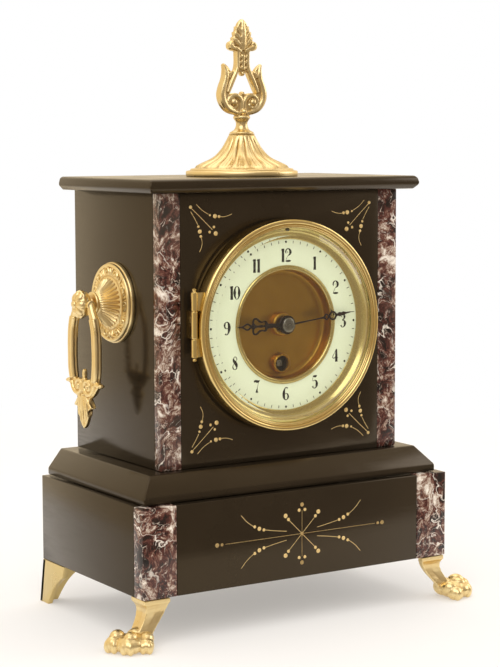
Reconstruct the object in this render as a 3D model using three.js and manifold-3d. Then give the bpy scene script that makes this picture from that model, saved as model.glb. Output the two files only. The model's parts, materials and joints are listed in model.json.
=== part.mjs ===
// Mantel clock: a black slate case with veined marble posts, gilt brass mounts, an enamel chapter ring
// and a round-plate, spring-driven, pendulum movement. Millimetres, +Z up.
// Inside the group, y runs backwards from the plinth's front face and z up from the floor.
import * as THREE from "three";
import { mergeVertices } from "three/addons/utils/BufferGeometryUtils.js";
import Module from "manifold-3d";

const wasm = await Module();
wasm.setup();

// Driving dimensions

const seam = 0.2; // joint between two pieces of the case
const fit = 0.3; // clearance of a piece in its seat or of a shaft in its hole
const overrun = 3; // how far a cutting tool passes a face
const weld = 1e-4; // corners closer than this are one corner

const foot = {
  height: 27,
  block: 14, // side of the block under the plinth's corner
  chamfer: 4,
  heading: 30, // degrees, from straight sideways towards the front
};
const paw = {
  toeLength: 8.4,
  toeWidth: 3.7,
  toeHeight: 5.4,
  toeReach: 17.2,
  toeSpread: 6.3,
  toeLift: 3.6,
  padLength: 10.5,
  padWidth: 10.2,
  padHeight: 6.2,
  padReach: 8.6,
  padLift: 4.4,
  knuckleLength: 5.2,
  knuckleWidth: 3,
  knuckleHeight: 4.2,
  knuckleReach: 11.5,
  knuckleLift: 8.6,
  knuckleSpread: 4.9,
};
const bracket = { top: 28, inset: 3.1, notch: 7.3, toe: 10.5, splay: 5, wall: 3.2 };

const plinth = { width: 210, depth: 124, height: 51, postWidth: 21.5, postDepth: 10.3, panel: 11 };
const slab = {
  height: 15.3,
  edge: 4.4,
  sideSet: 4.05,
  frontSet: 5.4,
  sideChamfer: 8.7,
  frontChamfer: 9.3,
};
const backSet = 2; // of the body's back ahead of the plinth's
const body = {
  width: 163.6,
  height: 155.7,
  front: 20.1,
  back: plinth.depth - backSet,
  postWidth: 13.3,
  postDepth: 7,
  panel: 10,
};
const crown = { height: 8, sideLap: 10.55, frontLap: 9.1, topSet: 2.1, topFall: 3.7, band: 1.4, undercut: 2.6 };

const finial = {
  centre: 64, // from the plinth's front face
  flutes: 16,
  fluteDepth: 0.7,
  discRadius: 33.3,
  discRim: 3.2,
  stepRadius: 30.6,
  stepRise: 1.2,
  leafRadius: 26,
  leafRise: 1.4,
  skirtHeight: 19.2,
  waistRadius: 7.2,
  neckHeight: 6,
  neckRadius: 3.4,
  cupRadius: 5.2,
  lyreHeight: 67, // from the neck's foot to the tip
  lyreWidth: 34,
  lyreThickness: 5.6,
  rounding: 1.2,
};

const studRise = 14.05; // of the handle's stud above the middle of the body
const handle = {
  setBack: 71, // from the plinth's front face
  height: body.height / 2 + studRise, // of the stud above the slab
  rosetteRadius: 23.5,
  flutes: 15,
  fluteDepth: 0.8,
  rim: 2.2,
  ringHeight: 4.2,
  coneRadius: 14.6,
  coneHeight: 14,
  collarRadius: 7,
  collar: 2,
  studRadius: 2.6,
  pivotReach: 20.8, // of the bail's pin from the case side
  pinRadius: 1.1,
  pinHalf: 9.6,
  knobRadius: 6.2,
  knobReach: 24.6,
  eyeRadius: 2.7,
  eyeWidth: 2.6,
  bailHalf: 15,
  bailBar: 2.6,
  bailDrop: 44,
  leafDrop: 71,
  leafHalf: 9,
  plate: 4.4,
};

const dialRise = 1.05; // of the dial's centre above the middle of the body
const dialHeight = body.height / 2 + dialRise; // above the slab
const bezel = {
  flangeRadius: 60.4,
  flange: 2.4,
  neckRadius: 57.5,
  neck: 8,
  bandOuter: 56.6,
  bandInner: 49.5,
  bandSag: 1.1,
  sill: -3,
  dialSeat: -2.7,
  tubeRadius: 53,
  tubeWall: 2,
  ledgeWall: 3.2,
  lip: 1.6,
  lipRadius: 41,
  strapWall: 1.8,
  strapWidth: 9,
};
const door = {
  radius: 61.5,
  front: 11,
  rear: 2.7,
  skirtWall: 1.7,
  rimRadius: 60.5,
  grooveRadius: 59.5,
  groove: 1.1,
  beadRadius: 58,
  bead: 0.5,
  lipRadius: 56.2,
  pocketRadius: 57.8,
  pocketFront: 9.5,
  pocketRear: 7.7,
};
const glass = { radius: 57.5, thickness: 1, bevelWidth: 7, bevelDrop: 0.5 };
const hinge = { radius: 2.1, pinRadius: 0.8, length: 41, middleLength: 15.5, rise: 3.7, standOff: 2.4, depth: 7.2 };

const dial = {
  radius: 50.6,
  chapter: 0.9,
  chapterInner: 33.6,
  plate: 0.8,
  panRadius: 31.3,
  panDepth: 5.9,
  collarRadius: 6.85,
  collarRise: 4.3,
  hubRadius: 4.2,
  ringOuter: 34.6,
  ringRise: 1,
  windingDrop: 23,
  grommetRadius: 5.9,
  grommetHole: 4.3,
  grommetRise: 3.5,
  footRadius: 1.2,
  footCircle: 38,
};

const hands = {
  thickness: 0.7,
  hourReach: 34.5,
  hourLift: 3.6, // of the hour hand's back ahead of the body's front face
  hourBoss: 5.5,
  minuteReach: 47.2,
  minuteLift: 5,
  minuteBoss: 4.4,
  nutRadius: 4.3,
  nutDepth: 1.2,
  hourShare: 0.7514, // of a full turn clockwise from twelve, at a quarter past nine
  minuteShare: 0.2306,
};

const movement = {
  plateRadius: 44.6,
  plate: 1.8,
  front: 13.2, // of the front plate behind the body's front face
  between: 22,
  pillarCircle: 39,
  pillarRadius: 2.4,
  arborRadius: 1.2,
  centreArborRadius: 1.4,
  pivotRadius: 0.5,
  pivotHole: 0.8,
};
// Every pair's centre distance is the sum of its two pitch radii.
const train = {
  greatTeeth: 36,
  greatModule: 1,
  intermediatePinion: 9,
  intermediateTeeth: 42,
  intermediateModule: 0.7,
  centrePinion: 8,
  centreTeeth: 48,
  centreModule: 0.6,
  thirdPinion: 8,
  thirdTeeth: 42,
  thirdModule: 0.55,
  escapePinion: 8,
  escapeTeeth: 24,
  escapeRadius: 10,
  toothDepth: 2.2,
  hubRadius: 2.6,
  thirdHubRadius: 2.2,
  escapeHubRadius: 2,
  escapeSpokeWidth: 1.4,
};
const motion = { cannonTeeth: 10, minuteTeeth: 30, minutePinion: 8, hourTeeth: 32, module: 0.66, studRadius: 1 };
const barrel = { drumRadius: 16.6, front: 17.4, rear: 30.9, wheelThickness: 2, arborRadius: 2.4 };
const winding = { squareSide: 3.6, squareFront: 4.5, ratchetRadius: 8, ratchetTeeth: 16, ratchet: 1.5 };
const click = { pivotX: 12.6, pivotDrop: 4, beakAngle: 20, clearance: 0.15, width: 2.6, eye: 2.3, pinRadius: 1 };
const levels = {
  // fore and aft places of the wheels, behind the body's front face
  hourWheel: 8,
  motionWheel: 1.2,
  cannonWheel: 9.9,
  minuteWheel: 10.2,
  intermediateWheel: 15.8,
  wheel: 1,
  centrePinion: 15.4,
  pinion: 2,
  thirdWheel: 24,
  escapePinion: 23.5,
  escapeWheel: 29.5,
  intermediatePinion: 30.6,
  centreWheel: 34,
  thirdPinion: 33.5,
};
const anchor = {
  teethSpanned: 6.5,
  thickness: 2,
  noseWidth: 0.62,
  clearance: 0.12,
  arm: 2.2,
  crutch: 25,
  crutchWidth: 1.1,
};
const cock = { halfWidth: 11, leg: 3.5, stand: 7.1, plate: 1.5, rise: 9, drop: 3, pinRadius: 0.8, pin: 4.6 };
const pendulumExcess = 8.1; // of the pendulum's length over the dial's height above the slab
const pendulum = {
  length: dialHeight + pendulumExcess,
  rodRadius: 0.9,
  eyeRadius: 2.3,
  eyeThickness: 1.2,
  bobRadius: 12,
  bobHalf: 3.6,
  nutRadius: 3.2,
  nut: 3,
};
const rear = {
  holeRadius: 50,
  flangeRadius: 55.5,
  flangeInner: 42,
  flange: 1.9,
  lip: 6,
  lipWall: 1.5,
  doorRadius: 52.5,
  door: 1.2,
  knuckleRadius: 2,
  knuckle: 7.7,
  doorKnuckle: 12,
  standOff: 4.4,
  knobRadius: 3,
};

const dialSteps = 30; // facets round the dial
const smallSteps = 10; // facets round a small boss
const tinySteps = 8; // facets round a pin
const eggSides = 6;
const eggBands = 4;

// Levels that follow from the sizes

const plinthTop = foot.height + plinth.height;
const slabTop = plinthTop + slab.height;
const bodyTop = slabTop + body.height;
const crownTop = bodyTop + crown.height;
const dialZ = slabTop + dialHeight;
const turn = 2 * Math.PI;
const radians = THREE.MathUtils.degToRad;

// Shapes

// A closed geometry as a solid that can be joined and cut.
function solidOf(geometry) {
  const bare = geometry.index ? geometry.toNonIndexed() : geometry.clone();
  bare.deleteAttribute("normal");
  bare.deleteAttribute("uv");
  const merged = mergeVertices(bare, weld);
  const triVerts = new Uint32Array(merged.index.array);
  const vertProperties = merged.attributes.position.array;
  return new wasm.Manifold(new wasm.Mesh({ numProp: 3, vertProperties, triVerts }));
}

// A solid's surface as a geometry with flat faces.
function geometryOf(solid) {
  const { vertProperties, triVerts } = solid.getMesh();
  const geometry = new THREE.BufferGeometry();
  geometry.setAttribute("position", new THREE.BufferAttribute(vertProperties, 3));
  geometry.setIndex(new THREE.BufferAttribute(triVerts, 1));
  const flat = geometry.toNonIndexed();
  flat.computeVertexNormals();
  return flat;
}

function join(...pieces) {
  return geometryOf(pieces.map(solidOf).reduce((whole, piece) => whole.add(piece)));
}

function cut(piece, ...tools) {
  return geometryOf(tools.map(solidOf).reduce((rest, tool) => rest.subtract(tool), solidOf(piece)));
}

function common(piece, other) {
  return geometryOf(solidOf(piece).intersect(solidOf(other)));
}

// A box between two opposite corners.
function block([x0, y0, z0], [x1, y1, z1]) {
  const box = new THREE.BoxGeometry(x1 - x0, y1 - y0, z1 - z0);
  return box.translate((x0 + x1) / 2, (y0 + y1) / 2, (z0 + z1) / 2);
}

// Twice the signed area of an outline.
function areaOf(points) {
  return points.reduce((sum, [x, y], i) => {
    const [nextX, nextY] = points[(i + 1) % points.length];
    return sum + x * nextY - nextX * y;
  }, 0);
}

// A profile of [radius, y] turned about the Y axis. It closes on itself, or on the axis.
function turned(profile, steps) {
  const onAxis = profile[0][0] === 0 && profile.at(-1)[0] === 0;
  const ring = onAxis ? profile : [...profile, profile[0]];
  const ordered = areaOf(profile) > 0 ? ring : [...ring].reverse();
  return new THREE.LatheGeometry(ordered.map(([r, y]) => new THREE.Vector2(r, y)), steps);
}

// A turned form whose profile entries may hold a third value, the depth of flutes there.
function flutedTurning(profile, flutes) {
  const geometry = turned(profile, 2 * flutes);
  const place = geometry.attributes.position;
  for (let i = 0; i < place.count; i += 1) {
    const radius = Math.hypot(place.getX(i), place.getZ(i));
    const step = Math.round((Math.atan2(place.getX(i), place.getZ(i)) / turn) * 2 * flutes);
    const entry = profile.find(([r, y]) => Math.abs(r - radius) < weld && Math.abs(y - place.getY(i)) < weld);
    const depth = step % 2 === 0 || !entry ? 0 : (entry[2] ?? 0);
    if (depth > 0) {
      place.setX(i, (place.getX(i) * (radius - depth)) / radius);
      place.setZ(i, (place.getZ(i) * (radius - depth)) / radius);
    }
  }
  return geometry;
}

// A round bar along Y.
function bar(radius, y0, y1, steps = smallSteps, x = 0, z = 0) {
  return new THREE.CylinderGeometry(radius, radius, y1 - y0, steps).translate(x, (y0 + y1) / 2, z);
}

// A round bar along Z.
function post(radius, z0, z1, steps = smallSteps, x = 0, y = 0) {
  const geometry = new THREE.CylinderGeometry(radius, radius, z1 - z0, steps);
  return geometry.rotateX(Math.PI / 2).translate(x, y, (z0 + z1) / 2);
}

function vectors(points) {
  return points.map(([x, y]) => new THREE.Vector2(x, y));
}

// The corners of a circle, as [x, z].
function circle(radius, steps, x = 0, z = 0) {
  const corner = (_, i) => [x + radius * Math.cos((i * turn) / steps), z + radius * Math.sin((i * turn) / steps)];
  return Array.from({ length: steps }, corner);
}

// A flat plate in the XZ plane between two depths, from outlines of [x, z].
function plate(outline, y0, y1, holes = [], bevel = 0) {
  const shape = new THREE.Shape(vectors(outline));
  holes.forEach((hole) => shape.holes.push(new THREE.Path(vectors(hole))));
  const geometry = new THREE.ExtrudeGeometry(shape, {
    depth: y1 - y0 - 2 * bevel,
    bevelEnabled: bevel > 0,
    bevelThickness: bevel,
    bevelSize: bevel,
    bevelOffset: -bevel,
    bevelSegments: 1,
    curveSegments: 1,
  });
  return geometry.rotateX(Math.PI / 2).translate(0, y1 - bevel, 0);
}

// An outline of [y, z] extruded along X.
function sidePlate(outline, x0, x1, bevel = 0) {
  return plate(outline, -x1, -x0, [], bevel).rotateZ(Math.PI / 2);
}

// Half an outline, from its foot on the centre line to its top, with its mirror image.
function mirroredOutline(half) {
  const other = half.filter(([x]) => x > 0).map(([x, z]) => [-x, z]);
  return [...half, ...other.reverse()];
}

// A closed skin over rings that have the same number of corners.
function loft(rings) {
  const corners = [];
  const quad = (a, b, c, d) => corners.push(...a, ...b, ...c, ...a, ...c, ...d);
  const count = rings[0].length;
  for (let i = 0; i + 1 < rings.length; i += 1) {
    for (let k = 0; k < count; k += 1) {
      const next = (k + 1) % count;
      quad(rings[i][k], rings[i][next], rings[i + 1][next], rings[i + 1][k]);
    }
  }
  const first = rings[0];
  const last = rings.at(-1);
  for (let k = 1; k + 1 < count; k += 1) {
    corners.push(...first[0], ...first[k + 1], ...first[k]);
    corners.push(...last[0], ...last[k], ...last[k + 1]);
  }
  const geometry = new THREE.BufferGeometry();
  geometry.setAttribute("position", new THREE.Float32BufferAttribute(corners, 3));
  return geometry;
}

// An egg: a sphere scaled along its three axes.
function egg(halfX, halfY, halfZ) {
  return new THREE.SphereGeometry(1, eggSides, eggBands).rotateX(Math.PI / 2).scale(halfX, halfY, halfZ);
}

// A round rod along a smooth path through points.
function rod(points, radius, sides, steps) {
  const section = new THREE.Shape(vectors(circle(radius, sides)));
  const extrudePath = new THREE.CatmullRomCurve3(points.map((p) => new THREE.Vector3(...p)));
  return new THREE.ExtrudeGeometry(section, { steps, bevelEnabled: false, extrudePath, curveSegments: 1 });
}

// Toothed wheels

const wheelToothShares = { crest: 0.8, root: 1.25, rootHalf: 0.5 };
const pinionLeafShares = { crest: 0.62, root: 1.15, rootHalf: 0.2 };

// The outline of a toothed wheel with a tooth, or a gap, at the angle given.
function teethOutline(count, module, tooth, angle, gapThere = false) {
  const pitch = turn / count;
  const start = gapThere ? angle + pitch / 2 : angle;
  const radius = (count * module) / 2;
  const corners = [];
  for (let i = 0; i < count; i += 1) {
    const middle = start + i * pitch;
    const sides = [
      [0, radius + tooth.crest * module],
      [tooth.rootHalf, radius - tooth.root * module],
    ];
    if (tooth.rootHalf < 0.5) {
      sides.push([1 - tooth.rootHalf, radius - tooth.root * module]);
    }
    for (const [share, r] of sides) {
      corners.push([r * Math.cos(middle + share * pitch), r * Math.sin(middle + share * pitch)]);
    }
  }
  return corners;
}

// The openings between a wheel's spokes.
function crossings(inner, outer, spokes, spokeWidth, steps) {
  const opening = (_, spoke) => {
    const from = (spoke * turn) / spokes;
    const outerEdge = Math.asin(spokeWidth / 2 / outer);
    const innerEdge = Math.asin(spokeWidth / 2 / inner);
    const arc = (radius, edge) =>
      Array.from({ length: steps + 1 }, (_corner, i) => {
        const angle = from + edge + ((turn / spokes - 2 * edge) * i) / steps;
        return [radius * Math.cos(angle), radius * Math.sin(angle)];
      });
    return [...arc(outer, outerEdge), ...arc(inner, innerEdge).reverse()];
  };
  return Array.from({ length: spokes }, opening);
}

// A toothed disc with its spokes, at a depth and round an arbor's hole or none.
function wheel(count, module, angle, y0, thickness, hub, hole = 0) {
  const rootRadius = (count * module) / 2 - wheelToothShares.root * module;
  const rimWidth = 1.6 * module;
  const holes = crossings(hub, rootRadius - rimWidth, 4, hub * 0.6, 2);
  if (hole > 0) {
    holes.push(circle(hole, tinySteps));
  }
  return plate(teethOutline(count, module, wheelToothShares, angle), y0, y0 + thickness, holes);
}

function pinion(count, module, angle, y0, length) {
  return plate(teethOutline(count, module, pinionLeafShares, angle, true), y0, y0 + length);
}

// An arbor between the plates with a pivot at each end.
function arbor(radius) {
  const from = movement.front + movement.plate + fit;
  const to = movement.front + movement.plate + movement.between - fit;
  const end = movement.plate + fit - seam;
  const profile = [
    [0, from - end],
    [movement.pivotRadius, from - end],
    [movement.pivotRadius, from],
    [radius, from],
    [radius, to],
    [movement.pivotRadius, to],
    [movement.pivotRadius, to + end],
    [0, to + end],
  ];
  return turned(profile, tinySteps);
}

// Materials

function material(color, roughness, metalness) {
  return new THREE.MeshStandardMaterial({ color, roughness, metalness });
}
const slate = material(0x2b2620, 0.25, 0);
const marble = material(0x5a3430, 0.3, 0);
const gilt = material(0xd8b060, 0.3, 1);
const brass = material(0xc09a50, 0.35, 1);
const panBrass = material(0xa37c30, 0.4, 1);
const enamel = material(0xdce6c8, 0.35, 0);
const steel = material(0x8c8c90, 0.35, 1);
const blued = material(0x2a2024, 0.4, 0.8);
const clear = material(0xf4f8f4, 0.05, 0);
clear.transparent = true;
clear.opacity = 0.25;

function piece(name, geometry, look) {
  const mesh = new THREE.Mesh(geometry, look.clone());
  mesh.name = name;
  return mesh;
}

const clock = new THREE.Group();

// Plinth

// A rectangular stone between two corners, set back by a seam where it meets its neighbours.
function stone(name, from, to, look = slate) {
  clock.add(piece(name, block(from, to), look));
}

function addPlinth() {
  const half = plinth.width / 2;
  const inner = half - plinth.postWidth;
  const bottom = foot.height;
  const back = plinth.depth - plinth.panel;
  stone("base_front_panel", [-inner + seam, 0, bottom], [inner - seam, plinth.panel, plinthTop]);
  stone("base_post_left", [-half, 0, bottom], [-inner, plinth.postDepth, plinthTop], marble);
  stone("base_post_right", [inner, 0, bottom], [half, plinth.postDepth, plinthTop], marble);
  const side = plinth.postDepth + seam;
  stone("base_left_panel", [-half, side, bottom], [plinth.panel - half, plinth.depth, plinthTop]);
  stone("base_right_panel", [half - plinth.panel, side, bottom], [half, plinth.depth, plinthTop]);
  const inside = half - plinth.panel - seam;
  stone("base_back_panel", [-inside, back, bottom], [inside, plinth.depth, plinthTop]);
}

// A slab whose front and side edges have one profile and whose back is flush.
function edgedSlab(halfWidth, front, back, edge) {
  const across = mirroredOutline(edge.map(([inset, z]) => [halfWidth - inset, z]));
  const along = edge.map(([inset, z]) => [front + inset, z]);
  along.push([back, edge.at(-1)[1]], [back, edge[0][1]]);
  const wide = plate(across, front - overrun, back + overrun);
  return common(wide, sidePlate(along, -halfWidth - overrun, halfWidth + overrun));
}

function chamferedSlab() {
  const bottom = plinthTop + seam;
  const halfWidth = plinth.width / 2 - slab.sideSet;
  const edge = plinthTop + slab.edge;
  const across = mirroredOutline([
    [halfWidth, bottom],
    [halfWidth, edge],
    [halfWidth - slab.sideChamfer, slabTop],
  ]);
  const along = [
    [slab.frontSet, bottom],
    [slab.frontSet, edge],
    [slab.frontSet + slab.frontChamfer, slabTop],
    [plinth.depth, slabTop],
    [plinth.depth, bottom],
  ];
  const wide = plate(across, slab.frontSet - overrun, plinth.depth + overrun);
  return common(wide, sidePlate(along, -plinth.width / 2, plinth.width / 2));
}

// Body

function addBody() {
  const half = body.width / 2;
  const inner = half - body.postWidth;
  const bottom = slabTop + seam;
  const front = body.front;
  const side = front + body.postDepth + seam;
  stone("body_post_left", [-half, front, bottom], [-inner, front + body.postDepth, bodyTop], marble);
  stone("body_post_right", [inner, front, bottom], [half, front + body.postDepth, bodyTop], marble);
  stone("body_left_panel", [-half, side, bottom], [body.panel - half, body.back, bodyTop]);
  stone("body_right_panel", [half - body.panel, side, bottom], [half, body.back, bodyTop]);
  const panel = (halfWidth, from, radius) => {
    const outline = [
      [-halfWidth, bottom],
      [halfWidth, bottom],
      [halfWidth, bodyTop],
      [-halfWidth, bodyTop],
    ];
    return plate(outline, from, from + body.panel, [circle(radius, dialSteps, 0, dialZ)]);
  };
  const frontPanel = panel(inner - seam, front, bezel.tubeRadius + fit);
  clock.add(piece("body_front_panel", frontPanel, slate));
  const backPanel = panel(half - body.panel - seam, body.back - body.panel, rear.holeRadius);
  clock.add(piece("body_back_panel", backPanel, slate));
}

function crownSlab() {
  const top = crownTop - crown.topFall;
  const edge = [
    [crown.undercut, bodyTop + seam],
    [0, top - crown.band],
    [0, top],
    [crown.topSet / 3, crownTop - crown.topSet / 2],
    [crown.topSet, crownTop],
  ];
  return edgedSlab(body.width / 2 + crown.sideLap, body.front - crown.frontLap, body.back, edge);
}

// Feet

// A cast leg and paw at the right front corner. Its own x runs outwards and its y backwards from the corner.
function pawFoot() {
  const side = foot.block;
  const corners = [
    [-side, 0],
    [0, 0],
    [0, side],
    [-foot.chamfer, side],
    [-side, foot.chamfer],
  ];
  const heading = radians(foot.heading);
  const pivot = [-side / 3, side / 3];
  // Shares of the foot's height, of the block's section and of the block's side.
  const legShares = [
    { height: 0.3, section: 0.66, reach: 0.62 },
    { height: 0.44, section: 0.57, reach: 0.4 },
    { height: 0.6, section: 0.68, reach: 0.12 },
    { height: 0.8, section: 0.86, reach: -0.04 },
    { height: 0.9, section: 1, reach: 0 },
    { height: 1, section: 1, reach: 0 },
  ];
  const ring = ({ height, section, reach }) =>
    corners.map(([x, y]) => [
      pivot[0] + (x - pivot[0]) * section + Math.cos(heading) * reach * side,
      pivot[1] + (y - pivot[1]) * section - Math.sin(heading) * reach * side,
      height * foot.height - (height === 1 ? seam : 0),
    ]);
  const leg = loft(legShares.map(ring));
  const along = (length, width, height, reach, sideways, lift, lean = 0) =>
    egg(length, width, height)
      .rotateZ(lean)
      .translate(reach, sideways, lift)
      .rotateZ(-heading);
  const pieces = [
    leg,
    along(paw.padLength, paw.padWidth, paw.padHeight, paw.padReach, 0, paw.padLift),
  ];
  for (const place of [-1.5, -0.5, 0.5, 1.5]) {
    const toeReach = paw.toeReach - Math.abs(place) * paw.toeWidth * 0.6;
    const lean = place / 5;
    const toe = [paw.toeLength, paw.toeWidth, paw.toeHeight, toeReach, place * paw.toeSpread, paw.toeLift];
    pieces.push(along(...toe, lean));
    const knuckle = [paw.knuckleLength, paw.knuckleWidth, paw.knuckleHeight, paw.knuckleReach];
    pieces.push(along(...knuckle, place * paw.knuckleSpread, paw.knuckleLift, lean));
  }
  const span = 2 * (paw.toeReach + paw.toeLength);
  const ground = block([-span, -span, -span], [span, span, 0]);
  return cut(join(...pieces), ground);
}

// A hollow bracket at the right back corner: its own x runs outwards and its y backwards from the corner.
function bracketFoot() {
  const top = foot.height - seam;
  const outline = (splay) => [
    [0, top],
    [splay, 0],
    [splay - bracket.toe, 0],
    [-bracket.top * 0.72, top * 0.48],
    [-bracket.top + bracket.inset, top - bracket.notch],
    [-bracket.top, top],
  ];
  const side = sidePlate(outline(bracket.splay), -bracket.wall, 0);
  const lean = new THREE.Matrix4().makeShear(0, 0, 0, 0, 0, -bracket.splay / foot.height);
  const back = plate(outline(0), -bracket.wall, 0).applyMatrix4(lean).translate(0, bracket.splay, 0);
  return join(side, back);
}

function addFeet() {
  const half = plinth.width / 2;
  const right = piece("foot_front_right", pawFoot(), gilt);
  right.position.set(half, 0, 0);
  const left = piece("foot_front_left", pawFoot(), gilt);
  left.position.set(-half, 0, 0);
  left.scale.x = -1;
  const backRight = piece("foot_rear_right", bracketFoot(), gilt);
  backRight.position.set(half, plinth.depth, 0);
  const backLeft = piece("foot_rear_left", bracketFoot(), gilt);
  backLeft.position.set(-half, plinth.depth, 0);
  backLeft.scale.x = -1;
  clock.add(right, left, backRight, backLeft);
}

// Finial

// The stepped disc and fluted skirt, turned about the finial's own axis, which becomes Z.
function finialBase() {
  const stepTop = finial.discRim + finial.stepRise;
  const leafTop = stepTop + finial.leafRise;
  const skirtTop = leafTop + finial.skirtHeight;
  const skirt = finial.leafRadius - finial.waistRadius;
  const skirtShares = [
    { out: 0.52, up: 0.12, flute: 1.4 },
    { out: 0.26, up: 0.36, flute: 1.6 },
    { out: 0.1, up: 0.72, flute: 0.8 },
  ];
  const profile = [
    [0, 0],
    [finial.discRadius, 0],
    [finial.discRadius, finial.discRim],
    [finial.stepRadius, finial.discRim],
    [finial.stepRadius, stepTop],
    [finial.leafRadius, stepTop],
    [finial.leafRadius, leafTop, finial.fluteDepth],
    ...skirtShares.map(({ out, up, flute }) => [
      finial.waistRadius + skirt * out,
      leafTop + finial.skirtHeight * up,
      finial.fluteDepth * flute,
    ]),
    [finial.waistRadius, skirtTop],
    [0, skirtTop],
  ];
  return flutedTurning(profile, finial.flutes).rotateX(Math.PI / 2);
}

// The neck, cup, open lyre and palmette. Its z runs up from the neck's foot.
function finialLyre() {
  const tall = finial.lyreHeight;
  const half = finial.lyreWidth / 2;
  const neckShares = [
    { out: 1.6, up: 0 },
    { out: 1.05, up: 0.35 },
    { out: 1, up: 0.8 },
    { out: 1.35, up: 1.25 },
    { out: 1.53, up: 1.55 },
    { out: 0.9, up: 1.9 },
  ];
  const neck = [
    [0, 0],
    ...neckShares.map(({ out, up }) => [finial.neckRadius * out, finial.neckHeight * up]),
    [0, finial.neckHeight * 1.9],
  ];
  // Shares of the lyre's half width and of its height.
  const outlineShares = [
    [0.27, 0.15],
    [0.51, 0.18],
    [0.75, 0.224],
    [0.94, 0.281],
    [1, 0.345],
    [0.96, 0.409],
    [0.85, 0.473],
    [0.77, 0.523],
    [0.81, 0.584],
    [0.64, 0.551],
    [0.56, 0.516],
    [0.45, 0.519],
    [0.35, 0.541],
    [0.31, 0.573],
    [0.275, 0.63],
    [0.275, 0.694],
    [0.59, 0.704],
    [0.65, 0.729],
    [0.57, 0.762],
    [0.42, 0.769],
    [0.41, 0.791],
    [0.35, 0.836],
    [0.275, 0.879],
    [0.1, 0.964],
    [0, 1],
  ];
  const openingShares = [
    [0, 0.319],
    [0.54, 0.325],
    [0.56, 0.338],
    [0.15, 0.516],
    [0, 0.501],
  ];
  const scaled = (shares) => mirroredOutline(shares.map(([out, up]) => [out * half, up * tall]));
  const depth = finial.lyreThickness / 2;
  const lyre = plate(scaled(outlineShares), -depth, depth, [scaled(openingShares)], finial.rounding);
  return join(turned(neck, smallSteps).rotateX(Math.PI / 2), lyre);
}

function addFinial() {
  const base = piece("finial_base", finialBase(), gilt);
  base.position.set(0, finial.centre, crownTop + seam);
  const lyre = piece("finial_lyre", finialLyre(), gilt);
  const rise = finial.discRim + finial.stepRise + finial.leafRise + finial.skirtHeight;
  lyre.position.set(0, finial.centre, crownTop + rise + 2 * seam);
  clock.add(base, lyre);
}

// Side handles: their own x runs outwards from the case side.

function rosette() {
  const rim = handle.rosetteRadius;
  const cone = handle.coneRadius;
  const top = handle.coneHeight;
  const profile = [
    [handle.studRadius + fit, seam],
    [rim, seam],
    [rim, handle.rim],
    [(rim + cone) / 2, handle.ringHeight],
    [cone, handle.ringHeight * 0.9, handle.fluteDepth],
    [cone * 0.72, handle.ringHeight + (top - handle.ringHeight) * 0.45, handle.fluteDepth],
    [cone * 0.42, top, handle.fluteDepth / 2],
    [handle.studRadius + fit, top],
  ];
  return flutedTurning(profile, handle.flutes).rotateZ(-Math.PI / 2);
}

// The stud with its collar, the knob at its end and the pin that the bail hangs on.
function studAndKnob() {
  const collarBack = handle.coneHeight + seam;
  const collarFront = collarBack + handle.collar;
  const knobBack = handle.knobReach - handle.knobRadius * 0.85;
  const profile = [
    [0, fit],
    [handle.studRadius, fit],
    [handle.studRadius, collarBack],
    [handle.collarRadius, collarBack],
    [handle.collarRadius, collarFront],
    [handle.studRadius, collarFront],
    [handle.studRadius, knobBack],
    [handle.knobRadius * 0.7, knobBack],
    [handle.knobRadius, handle.knobReach - handle.knobRadius * 0.2],
    [handle.knobRadius * 0.7, handle.knobReach + handle.knobRadius * 0.45],
    [0, handle.knobReach + handle.knobRadius * 0.7],
  ];
  const stud = turned(profile, smallSteps).rotateZ(-Math.PI / 2);
  const pin = bar(handle.pinRadius, -handle.pinHalf, handle.pinHalf, tinySteps, handle.pivotReach, 0);
  return join(stud, pin);
}

// The bail hangs from the pin in a plane parallel to the case side. Its own origin is the pin's middle.
function bail() {
  const half = handle.bailHalf;
  const drop = handle.bailDrop;
  const eyeMiddle = handle.pinHalf - handle.eyeWidth / 2;
  const pieces = [];
  for (const hand of [-1, 1]) {
    const arm = [
      [0, hand * handle.pinHalf * 0.95, -handle.eyeRadius * 0.7],
      [0, hand * (eyeMiddle + half) * 0.5, -drop * 0.16],
      [0, hand * half * 0.97, -drop * 0.34],
      [0, hand * half, -drop * 0.62],
      [0, hand * half * 0.86, -drop * 0.92],
      [0, hand * half * 0.4, -drop * 1.08],
    ];
    pieces.push(rod(arm, handle.bailBar, 6, 6));
    const from = hand > 0 ? eyeMiddle - handle.eyeWidth / 2 : -eyeMiddle - handle.eyeWidth / 2;
    pieces.push(bar(handle.eyeRadius, from, from + handle.eyeWidth, tinySteps));
  }
  // Shares of the leaf's half width and of the drop to its tip.
  const leafShares = [
    [0, -1],
    [0.28, -0.93],
    [0.36, -0.85],
    [0.44, -0.8],
    [1, -0.77],
    [0.6, -0.73],
    [0.5, -0.7],
    [1.3, -0.66],
    [2.4, -0.6],
    [2.45, -0.55],
    [1.6, -0.57],
    [0.9, -0.55],
    [0.25, -0.58],
    [0.24, -0.5],
    [0, -0.47],
  ];
  const outline = mirroredOutline(leafShares.map(([out, down]) => [out * handle.leafHalf, down * handle.leafDrop]));
  const depth = handle.plate / 2;
  pieces.push(sidePlate(outline, -depth, depth));
  const hole = bar(handle.pinRadius + fit, -2 * handle.pinHalf, 2 * handle.pinHalf, tinySteps);
  return cut(join(...pieces), hole);
}

function addHandle(side, away) {
  const group = new THREE.Group();
  group.position.set((away * body.width) / 2, handle.setBack, slabTop + handle.height);
  group.rotation.z = away > 0 ? 0 : Math.PI;
  const drop = piece("handle_bail_" + side, bail(), gilt);
  drop.position.x = handle.pivotReach;
  group.add(piece("handle_rosette_" + side, rosette(), gilt));
  group.add(piece("handle_knob_" + side, studAndKnob(), gilt), drop);
  clock.add(group);
}

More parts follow.
